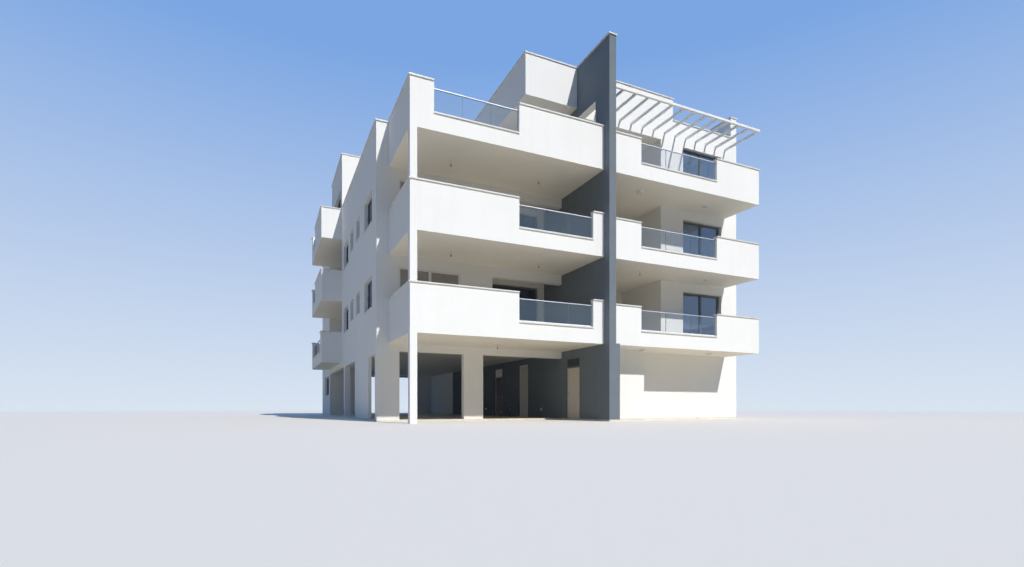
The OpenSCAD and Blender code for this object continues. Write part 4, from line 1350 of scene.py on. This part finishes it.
@dataclass
class Balustrades(Assembly):
    """Handrails, glass shoes, gaskets, pane edges and wall flanges of the balconies."""

    rail_below: float = 0.045  # height under which a bar is a handrail and not a shoe
    rail_corner: float = 0.009
    shoe_corner: float = 0.003
    gasket: float = 0.007
    gasket_corner: float = 0.002
    edge_w: float = 0.004
    edge_proud: float = 0.0006  # how far the ground edge stands out of the glass
    bolt_at: float = 0.32  # distance of a flange's bolts from its middle, in its heights
    flange: Size = (0.006, 0.062, 0.085)
    bolt: Pairs = ((0.006, -0.001), (0.006, 0.002), (0.003, 0.004))

    def build(self) -> None:
        """Builds the rails and what holds the glass."""
        bars = self.frame.solids("handrails")
        rails = [b for b in bars if b.size.z < self.rail_below]
        shoes = [b for b in bars if b.size.z >= self.rail_below]
        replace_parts(self.run_bars("handrail_tubes", rails, self.rail_corner, RAIL_ALU), "handrails")
        self.run_bars("glass_shoes", shoes, self.shoe_corner, WHITE_STEEL)
        self.build_gaskets(shoes)
        self.build_edges()
        self.build_flanges(rails)

    @staticmethod
    def ends(box: Box) -> Line:
        """Returns the two ends of a bar's middle line."""
        half = RIGHT * (box.size.x / 2) if box.runs_x else BACK * (box.size.y / 2)
        return box.centre - half, box.centre + half

    def run_bars(self, name: str, boxes: Sequence[Box], corner: float, finish: Finish) -> Piece:
        """Runs a bar of the boxes' own size along each of them."""
        size = (min(boxes[0].size.xy), boxes[0].size.z)
        return self.grower.bars_along(name, [self.ends(b) for b in boxes], size, corner, finish)

    def build_gaskets(self, shoes: Sequence[Box]) -> None:
        """Builds the two rubber strips that grip the glass in its shoe.

        Args:
            shoes: Boxes of the shoes.
        """
        glass = min(self.frame.solids("balcony_glass")[0].size.xy)
        lines = []
        for box in shoes:
            first, second = self.ends(box)
            across = UP.cross(second - first).normalized() * (glass + self.gasket) / 2
            lift = UP * (box.size.z / 2 + self.gasket / 2)
            lines += [(first + lift + s * across, second + lift + s * across) for s in (-1, 1)]
        size = (self.gasket, self.gasket)
        self.grower.bars_along("glass_gaskets", lines, size, self.gasket_corner, RAIL_GASKET)

    def build_edges(self) -> None:
        """Builds the ground edge round every pane."""
        shape = Shape()
        for pane in self.frame.solids("balcony_glass"):
            along, out = (RIGHT, -BACK) if pane.runs_x else (BACK, RIGHT)
            proud, half = self.edge_proud, min(pane.size.xy) / 2 + self.edge_proud
            profile = [(-proud, -half), (-proud, half), (self.edge_w, half), (self.edge_w, -half)]
            shape.ring(placed(pane.centre, along, out), max(pane.size.xy), pane.size.z, profile)
        shape.finish("glass_edges", GLASS_EDGE)

    def build_flanges(self, rails: Sequence[Box]) -> None:
        """Builds the wall plates at both ends of every handrail.

        Args:
            rails: Boxes of the handrails.
        """
        one = Shape()
        t, _, h = self.flange
        one.block(Matrix(), self.flange, (t / 2, 0, 0), edge=4 * MM)
        for z in (-1, 1):
            place = placed(Vector((t, 0, z * h * self.bolt_at)), BACK, RIGHT)
            one.lathe(place, self.bolt, steps=12)
        places = []
        for box in rails:
            first, second = self.ends(box)
            run = (second - first).normalized()
            side = UP.cross(run)
            places += [placed(first, run, side), placed(second, -run, -side)]
        self.grower.fit("rail_flanges", one, places, FLANGE_STEEL)


@dataclass
class Copings(Assembly):
    """Joint straps of the metal copings."""

    spacing: float = 1.9
    shortest: float = 0.8  # shortest run with a strap, in spacings
    strap_w: float = 0.055
    proud: float = 0.002
    lip: float = 0.02
    width_from: float = 0.05
    width_to: float = 0.6
    merge: float = 0.0001  # distance under which corners are one
    flat_deg: float = 1.0  # most that the triangles of one face differ
    top_from: float = 0.9  # least upright part of a top's normal
    skew: float = 0.1  # most that an edge which faces another may slant

    def build(self) -> None:
        """Builds the straps over the joints of the coping sheets."""
        work = bmesh.new()
        work.from_mesh(self.frame.nodes["copings"].data)
        bmesh.ops.remove_doubles(work, verts=work.verts, dist=self.merge)
        angle = math.radians(self.flat_deg)
        bmesh.ops.dissolve_limit(work, angle_limit=angle, verts=work.verts, edges=work.edges)
        tops = [face for face in work.faces if face.normal.z > self.top_from]
        tops.sort(
            key=lambda face: tuple(round(c, ORDER_DIGITS) for c in face.calc_center_median())
        )
        places = [place for face in tops for place in self.straps(face)]
        work.free()
        # One metre wide, until its place stretches it
        one = Shape()
        drop = self.frame.solids("copings")[0].size.z + self.proud
        one.block(Matrix(), (self.strap_w, 1.0, self.proud), (0, 0, self.proud / 2))
        for side in (-0.5, 0.5):
            one.block(Matrix(), (self.strap_w, self.lip, drop), (0, side, self.proud - drop / 2))
        self.grower.fit("coping_straps", one, places, COPING)

    def straps(self, face: bmesh.types.BMFace) -> list[Matrix]:
        """Finds the places of the straps on one top face.

        Args:
            face: Top face of a coping.

        Returns:
            One matrix per strap, stretched to the width of the coping.
        """
        found = []
        for loop in face.loops:
            start, end = loop.vert.co, loop.link_loop_next.vert.co
            run = end - start
            inward = UP.cross(run).normalized()
            if run.length < self.spacing * self.shortest or inward.x + inward.y < 0:
                continue
            count = max(1, round(run.length / self.spacing) - 1)
            for i in range(count):
                at = start + run * (i + 1) / (count + 1)
                width = self.across(face, at, inward)
                if width:
                    place = placed(at + inward * width / 2, run.normalized(), inward)
                    found.append(place @ Matrix.Diagonal((1, width + 2 * self.proud, 1, 1)))
        return found

    def across(self, face: bmesh.types.BMFace, at: Vector, inward: Vector) -> float:
        """Measures a coping's width from a point on its edge.

        Args:
            face: Top face of a coping.
            at: The point.
            inward: Direction from the edge over the face.

        Returns:
            The width, or 0 where nothing faces the edge within reach.
        """
        gaps = []
        for loop in face.loops:
            a, b = loop.vert.co, loop.link_loop_next.vert.co
            edge = (b - a).normalized()
            gap = (a - at).dot(inward)
            level = abs(edge.dot(inward)) <= self.skew
            if level and gap > self.width_from and 0 < (at - a).dot(edge) < (b - a).length:
                gaps.append(gap)
        best = min(gaps, default=0.0)
        return best if best < self.width_to else 0.0


@dataclass
class Pergola(Assembly):
    """White steel pergola over the right terrace: slats, front beam and wall shoes."""

    corner: float = 0.005
    shoe: Size = (0.070, 0.006, 0.130)
    bolt: Pairs = ((0.008, -0.001), (0.008, 0.004), (0.004, 0.007))
    bolt_at: Pair = (0.36, 0.4)  # distance of its bolts from its middle, in its sizes

    def build(self) -> None:
        """Builds the slats, the beam and the shoes."""
        box = self.frame.box("pergola")
        points = self.frame.points("pergola")
        back = [p for p in points if abs(p.y - box.high.y) < MM]
        xs = sorted({round(p.x, DIGITS) for p in back})
        lefts, width = xs[::2], xs[1] - xs[0]
        low = min(p.z for p in back)
        front, top = box.low.y + MM, box.high.z - MM
        beam_w = min(p.y for p in points if p.y > front and p.z > top) - box.low.y
        beam_low = min(p.z for p in points if p.y < front and all(abs(p.x - x) > MM for x in xs))
        start = Vector((xs[0] + width / 2, box.low.y + beam_w, (low + box.high.z) / 2))
        step = RIGHT * ((lefts[-1] - lefts[0]) / (len(lefts) - 1))
        span = BACK * (box.high.y - box.low.y - beam_w)
        values = {"Count": len(lefts), "Start": start, "Step": step, "Span": span}
        values |= {"Width": width, "Height": box.high.z - low, "Corner": self.corner}
        empty = bpy.data.meshes.new("pergola_empty")
        slats = self.grower.grow("pergola_slats", empty, self.grower.row, values, WHITE_STEEL)
        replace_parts(slats, "pergola")
        y, z = box.low.y + beam_w / 2, (beam_low + box.high.z) / 2
        line = [(Vector((box.low.x, y, z)), Vector((box.high.x, y, z)))]
        size = (beam_w, box.high.z - beam_low)
        self.grower.bars_along("pergola_beam", line, size, self.corner, WHITE_STEEL)
        self.build_shoes([Vector((x + width / 2, box.high.y, start.z)) for x in lefts])

    def build_shoes(self, feet: Sequence[Vector]) -> None:
        """Builds the wall plate of every slat.

        Args:
            feet: Middle of each slat's end at the wall.
        """
        w, t, h = self.shoe
        one = Shape()
        one.block(Matrix(), self.shoe, (0, t / 2, 0), edge=2 * MM)
        u, v = self.bolt_at
        for x, z in ((-1, -1), (-1, 1), (1, -1), (1, 1)):
            one.lathe(placed(Vector((x * w * u, t, z * h * v)), RIGHT, BACK), self.bolt, steps=6)
        self.grower.fit("pergola_shoes", one, [placed(p, -RIGHT, -BACK) for p in feet], WHITE_STEEL)


@dataclass
class BladeLining(Assembly):
    """White render on the reveals of the opening through the slate wall."""

    thick: float = 0.006

    def build(self) -> None:
        """Builds the lining from the corners of the opening."""
        box = self.frame.box("blade_wall")
        points = self.frame.points("blade_wall")
        ends = []
        for i in (1, 2):
            low, high = box.low[i] + MM, box.high[i] - MM
            inner = [round(p[i], DIGITS) for p in points if low < p[i] < high]
            ends.append((min(inner), max(inner)))
        (y0, y1), (z0, z1) = ends
        half = box.size.x / 2 + MM
        middle = Vector((box.centre.x, (y0 + y1) / 2, (z0 + z1) / 2))
        shape = Shape()
        profile = [(0, -half), (0, half), (self.thick, half), (self.thick, -half)]
        shape.ring(placed(middle, -BACK, -RIGHT), y1 - y0, z1 - z0, profile)
        shape.finish("blade_opening_lining", WHITE)


class LampKind(Enum):
    """Kinds of lamp, which their boxes tell apart."""

    WALL = "wall"
    HANGING = "hanging"
    FLAT = "flat"
    WIDE = "wide"


@dataclass
class Lamps(Assembly):
    """Ceiling lamps and bare lamp holders under the balconies, and wall lamps in the parking."""

    wide_from: float = 0.2  # width from which a flat lamp is a wide one
    wall_to: float = 0.7  # most that a wall lamp stands out, in widths
    long_from: float = 1.3  # least that a hanging lamp hangs down, in widths
    rim: float = 0.9  # radius of a base at the wall, in radii of the lamp
    levels: Size = (0.12, 0.38, 0.46)  # start and end of its full width, and its top, in depths
    inner: float = 0.9  # radius of the diffuser, in radii of the rim
    seat: float = 0.4  # where the diffuser starts, in depths of the lamp
    dome: float = 0.56  # its depth, in depths of the lamp
    tip: float = 0.02  # radius of its closed middle, in its own radii
    dome_steps: int = 7
    guards: int = 3
    guard: Pair = (0.005, 0.004)
    guard_pitch: float = 0.5  # in radii
    guard_long: float = 1.7  # in radii
    guard_out: float = 0.97  # in depths
    rose: Pairs = ((1.0, 0.0), (1.0, 0.014), (0.55, 0.024))  # in radii, and metres down
    gland: Pair = (0.008, 0.025)  # its end round the wire
    wire: float = 0.005
    wire_from: float = 0.020
    wire_into: float = 0.004  # how far the wire reaches into the holder
    holder_long: float = 0.070
    holder: Pairs = (
        (0.009, 0.0), (0.016, 0.006), (0.020, 0.022), (0.028, 0.026), (0.028, 0.044), (0.023, 0.047)
    )
    mouth: Size = (0.022, 0.017, 0.020)  # outer and inner radius and depth of its open end

    def build(self) -> None:
        """Builds the lamps of each kind."""
        kinds: dict[LampKind, list[Box]] = {kind: [] for kind in LampKind}
        for box in self.frame.solids("lamps"):
            kinds[self.kind(box)].append(box)
        for kind, boxes in kinds.items():
            places, size = [self.place(kind, box) for box in boxes], boxes[0].size
            depth = size.x if kind is LampKind.WALL else size.z
            if kind is LampKind.HANGING:
                self.build_hanging(places, size.x / 2, depth)
            else:
                self.build_domed(kind, places, size.y / 2, depth)

    def kind(self, box: Box) -> LampKind:
        """Tells a lamp's kind from its box.

        Args:
            box: Box of a lamp.

        Returns:
            Its kind.
        """
        if box.size.x < box.size.y * self.wall_to:
            return LampKind.WALL
        if box.size.z > box.size.x * self.long_from:
            return LampKind.HANGING
        return LampKind.WIDE if box.size.x > self.wide_from else LampKind.FLAT

    @staticmethod
    def place(kind: LampKind, box: Box) -> Matrix:
        """Finds where a lamp is fixed.

        Args:
            kind: Its kind.
            box: Its box.

        Returns:
            The matrix whose origin is on the wall or soffit and whose Y is the lamp's axis.
        """
        if kind is LampKind.WALL:
            return placed(Vector((box.high.x, box.centre.y, box.centre.z)), -BACK, -RIGHT)
        foot = Matrix.Translation(Vector((box.centre.x, box.centre.y, box.high.z)))
        return foot @ Matrix.Rotation(math.radians(-90), 4, "X")

    def build_domed(
        self, kind: LampKind, places: Sequence[Matrix], radius: float, depth: float
    ) -> None:
        """Builds the bases and diffusers of one kind, and the guards of the wall lamps.

        Args:
            kind: Kind of lamp.
            places: Matrix of each lamp.
            radius: Radius of its base.
            depth: How far it stands out.
        """
        base, dome = Shape(), Shape()
        rim, inner = radius * self.rim, radius * self.rim * self.inner
        wide, narrow, end = self.levels
        outline = [(rim, 0), (radius, wide), (radius, narrow), (rim, end), (inner, self.seat)]
        base.lathe(Matrix(), [(r, depth * out) for r, out in outline], steps=32)
        outline = []
        for i in range(self.dome_steps + 1):
            angle = math.pi / 2 * i / self.dome_steps
            out = self.seat + self.dome * math.sin(angle)
            outline.append((inner * max(math.cos(angle), self.tip), depth * out))
        dome.lathe(Matrix(), outline, steps=32)
        if kind is LampKind.WALL:
            size = (*self.guard, radius * self.guard_long)
            for i in range(self.guards):
                x = (i - (self.guards - 1) / 2) * radius * self.guard_pitch
                base.block(Matrix(), size, (x, depth * self.guard_out, 0), edge=MM)
        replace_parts(self.grower.fit(f"{kind.value}_lamp_bases", base, places, WHITE_STEEL), "lamps")
        self.grower.fit(f"{kind.value}_lamp_domes", dome, places, OPAL).data.shade_smooth()

    def build_hanging(self, places: Sequence[Matrix], radius: float, depth: float) -> None:
        """Builds the roses, wires and bare holders that wait for their shades.

        Args:
            places: Matrix of each lamp.
            radius: Radius of the ceiling rose.
            depth: How far the lamp hangs down.
        """
        metal, holder = Shape(), Shape()
        start = depth - self.holder_long
        metal.lathe(Matrix(), [*((radius * r, out) for r, out in self.rose), self.gland], steps=28)
        wire = [(self.wire, self.wire_from), (self.wire, start + self.wire_into)]
        holder.lathe(Matrix(), wire, steps=10)
        outer, inner, deep = self.mouth
        outline = [(r, start + out) for r, out in self.holder]
        outline += [(outer, depth), (inner, depth), (inner, depth - deep)]
        holder.lathe(Matrix(), outline, steps=28)
        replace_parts(self.grower.fit("hanging_lamp_roses", metal, places, WHITE_STEEL), "lamps")
        self.grower.fit("hanging_lamp_holders", holder, places, PHENOLIC)


@dataclass
class Doors(Assembly):
    """Furniture of the three doors in the slate wall, on their leaves, and the lobby's louvre."""

    thinnest: float = 0.02  # least thickness of a leaf
    stile: float = 0.11
    foot_rail: float = 1.3  # height of the bottom rail, in stiles
    lower: float = 0.42  # height of the lock rail's middle, in heights of the leaf
    moulding: float = 0.03
    moulding_out: float = 0.006
    bevels: Pair = (0.004, 0.006)  # widths of its outer and inner bevel
    lock_below: float = 0.085  # distance of the lock under the lever
    lock_rose: Pairs = ((0.024, -0.001), (0.024, 0.005), (0.020, 0.007), (0.009, 0.007))
    louvre_gaps: Pair = (0.07, 0.05)  # under the louvre and over it
    louvre_in: float = 0.008
    louvre_pitch: float = 0.036
    blade: Pair = (0.012, 0.026)
    blade_corner: float = 0.003

    def build(self) -> None:
        """Builds the furniture of each door."""
        self.build_door("lobby", Body.LOBBY, DOOR_CREAM)
        self.build_door("tall", Body.TALL, DOOR_CREAM)
        self.build_door("store", Body.STORE, DOOR_BROWN)
        self.build_louvre()

    def leaf_box(self, name: str) -> Box:
        """Finds the box of a leaf without its knuckles.

        Args:
            name: Name of the door.

        Returns:
            The box, whose low X is the face towards the parking.
        """
        points = self.frame.points(f"{name}_door")
        xs = sorted({round(p.x, DIGITS) for p in points})
        back = xs[-1]
        own = Box.around([p for p in points if abs(p.x - back) < SAME])
        levels = [x for x in xs if x < back - self.thinnest]
        face = max(x for x in levels if sum(abs(p.x - x) < SAME for p in points) >= len(CORNERS))
        return Box(Vector((face, own.low.y, own.low.z)), own.high)

    def build_door(self, name: str, body: Body, finish: Finish) -> None:
        """Builds the mouldings and the lock of one door.

        Args:
            name: Name of the door.
            body: Leaf that they ride on.
            finish: Finish of the leaf.
        """
        leaf = self.leaf_box(name)
        out, half, width = self.moulding_out, self.stile / 2, self.moulding
        split = leaf.low.z + leaf.size.z * self.lower
        outer, inner = self.bevels
        profile = [(0, -MM), (outer, out), (width - inner, out), (width, -MM)]
        shape = Shape()
        lows = (leaf.low.z + self.stile * self.foot_rail, split + half)
        for low, high in zip(lows, (split - half, leaf.high.z - self.stile)):
            place = placed(Vector((leaf.low.x, leaf.centre.y, (low + high) / 2)), BACK, -RIGHT)
            shape.ring(place, leaf.size.y - 2 * self.stile, high - low, profile)
        shape.finish(f"{name}_mouldings", finish, body)
        lever = self.frame.solids(f"{name}_lever")[0]
        lock = Shape()
        at = Vector((leaf.low.x, self.spindle(name), lever.centre.z - self.lock_below))
        lock.lathe(placed(at, BACK, -RIGHT), self.lock_rose, steps=20)
        lock.finish(f"{name}_lock", STEEL, body)

    def spindle(self, name: str) -> float:
        """Finds the middle of the lever's rose, which is its highest part.

        Args:
            name: Name of the door.

        Returns:
            Its Y.
        """
        points = self.frame.points(f"{name}_lever")
        top = max(p.z for p in points)
        rose = [p.y for p in points if top - p.z < SAME]
        return sum(rose) / len(rose)

    def build_louvre(self) -> None:
        """Builds the dark louvre over the lobby door."""
        leaf = self.leaf_box("lobby")
        under, over = self.louvre_gaps
        low, high = leaf.high.z + under, self.frame.box("core_wall_heads").low.z - over
        start = Vector((leaf.low.x + self.louvre_in, leaf.low.y, low + self.louvre_pitch / 2))
        values = {"Count": int((high - low) / self.louvre_pitch), "Start": start}
        values |= {"Step": UP * self.louvre_pitch, "Span": BACK * leaf.size.y}
        values |= {"Width": self.blade[0], "Height": self.blade[1], "Corner": self.blade_corner}
        empty = bpy.data.meshes.new("louvre_empty")
        self.grower.grow("transom_louvre", empty, self.grower.row, values, DARK_ALU)


@dataclass
class Stage:
    """Plain pale floor, soft studio light and the camera at the photograph's angle."""

    focal_px: float = 527.767
    frame_px: tuple[int, int] = (1024, 567)
    horizon_px: float = 407.788  # row of the photograph at eye level
    yaw_deg: float = 24.996
    eye: Size = (-10.756, -26.0965, 0.47)
    sensor_mm: float = 36.0
    clip_m: float = 2000.0
    sun_from: Size = (0.27, -1.15, 1.0)
    sun_power: float = 3.37
    sun_angle_deg: float = 1.0
    sun_tint: str = "#FFFCF6"
    sky_power: float = 0.52
    fill_low: str = "#7A766B"
    fill_high: str = "#7DB5FF"
    zenith_from: float = 0.55  # height of a direction from which the tones stay the same
    horizon: str = "#D9E4F1"
    zenith: str = "#7BA6E2"
    floor_size: float = 900.0
    floor_light: str = "#D2C6B0"  # what the object sees of the floor
    floor_seen: str = "#F0E7DA"  # what the camera sees of it
    floor_rough: float = 0.95
    fade_from: float = 30.0
    fade_to: float = 110.0

    def build(self) -> None:
        """Builds the camera, the world, the floor and the sun."""
        self.build_camera()
        self.build_world()
        self.build_floor()
        lamp = bpy.data.lights.new("key_sun", "SUN")
        lamp.energy = self.sun_power
        lamp.angle = math.radians(self.sun_angle_deg)
        lamp.color = linear(self.sun_tint)[:3]
        turn = Vector(self.sun_from).to_track_quat("Z", "Y")
        linked("key_sun", lamp).rotation_euler = turn.to_euler()
        bpy.context.scene.view_settings.view_transform = "Standard"

    def build_camera(self) -> None:
        """Builds the camera, level, with a rise that keeps the uprights parallel."""
        width, height = self.frame_px
        data = bpy.data.cameras.new("camera")
        data.sensor_width = self.sensor_mm
        data.lens = self.focal_px / width * data.sensor_width
        data.shift_y = (self.horizon_px - height / 2) / width
        data.clip_end = self.clip_m
        camera = linked("camera", data)
        camera.location = self.eye
        camera.rotation_euler = (math.pi / 2, 0, -math.radians(self.yaw_deg))
        bpy.context.scene.camera = camera

    def build_world(self) -> None:
        """Builds a fill light that deepens upwards, and a pale backdrop for what sees the world."""
        world = bpy.data.worlds.new("studio")
        bpy.context.scene.world = world
        tree = bare_tree(world)
        way = add(tree, "ShaderNodeTexCoord").outputs["Generated"]
        up = add(tree, "ShaderNodeSeparateXYZ", {0: way}).outputs["Z"]
        inputs = {"Value": up, "From Min": 0.0, "From Max": self.zenith_from}
        height = add(tree, "ShaderNodeMapRange", inputs)
        parts = []
        for low, high, power in (
            (self.fill_low, self.fill_high, self.sky_power),
            (self.horizon, self.zenith, 1.0),
        ):
            inputs = {FACTOR: height, COLOUR_A: linear(low), COLOUR_B: linear(high)}
            tone = add(tree, "ShaderNodeMix", inputs, data_type="RGBA")
            parts.append(add(tree, "ShaderNodeBackground", {"Color": tone, "Strength": power}))
        light, backdrop = parts
        mix = add(tree, "ShaderNodeMixShader", {0: self.seen(tree), 1: light, 2: backdrop})
        add(tree, "ShaderNodeOutputWorld", {"Surface": mix})

    @staticmethod
    def seen(tree: Tree) -> Any:
        """Adds a mask of 1 for rays from the camera, from a reflection or through glass.

        Args:
            tree: Node tree that gets the mask.

        Returns:
            Its last node.
        """
        path = add(tree, "ShaderNodeLightPath").outputs
        inputs = {0: path["Is Camera Ray"], 1: path["Is Glossy Ray"]}
        both = add(tree, "ShaderNodeMath", inputs, operation="MAXIMUM")
        inputs = {0: both, 1: path["Is Transmission Ray"]}
        return add(tree, "ShaderNodeMath", inputs, operation="MAXIMUM")

    def build_floor(self) -> None:
        """Builds the floor, which fades into the backdrop far off and lights nothing there."""
        material = bpy.data.materials.new("pale_studio_floor")
        tree = bare_tree(material)
        seen = self.seen(tree)
        lit, shown = linear(self.floor_light), linear(self.floor_seen)
        inputs = {FACTOR: seen, COLOUR_A: lit, COLOUR_B: shown}
        colour = add(tree, "ShaderNodeMix", inputs, data_type="RGBA")
        inputs = {"Base Color": colour, "Roughness": self.floor_rough}
        shader = add(tree, "ShaderNodeBsdfPrincipled", inputs)
        at = add(tree, "ShaderNodeTexCoord").outputs["Object"]
        far = add(tree, "ShaderNodeVectorMath", {0: at}, operation="LENGTH").outputs["Value"]
        inputs = {"Value": far, "From Min": self.fade_from, "From Max": self.fade_to}
        fade = add(tree, "ShaderNodeMapRange", inputs)
        glow = add(tree, "ShaderNodeEmission", {"Color": linear(self.horizon), "Strength": seen})
        mix = add(tree, "ShaderNodeMixShader", {0: fade, 1: shader, 2: glow})
        add(tree, "ShaderNodeOutputMaterial", {"Surface": mix})
        mesh = bpy.data.meshes.new("studio_floor")
        half = self.floor_size / 2
        mesh.from_pydata([(x * half, y * half, 0) for x, y in CORNERS], [], [(0, 1, 2, 3)])
        mesh.materials.append(material)
        linked("studio_floor", mesh)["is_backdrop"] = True


def main() -> None:
    """Builds the sub-assemblies in order."""
    logging.basicConfig(level=logging.INFO, format="%(message)s")
    frame = Frame()
    grower = Grower()
    Stage().build()
    for assembly in (Masonry, Windows, Balustrades, Copings, Pergola, BladeLining, Lamps, Doors):
        assembly(frame, grower).build()
    bpy.context.view_layer.update()


if __name__ == "__main__":
    main()
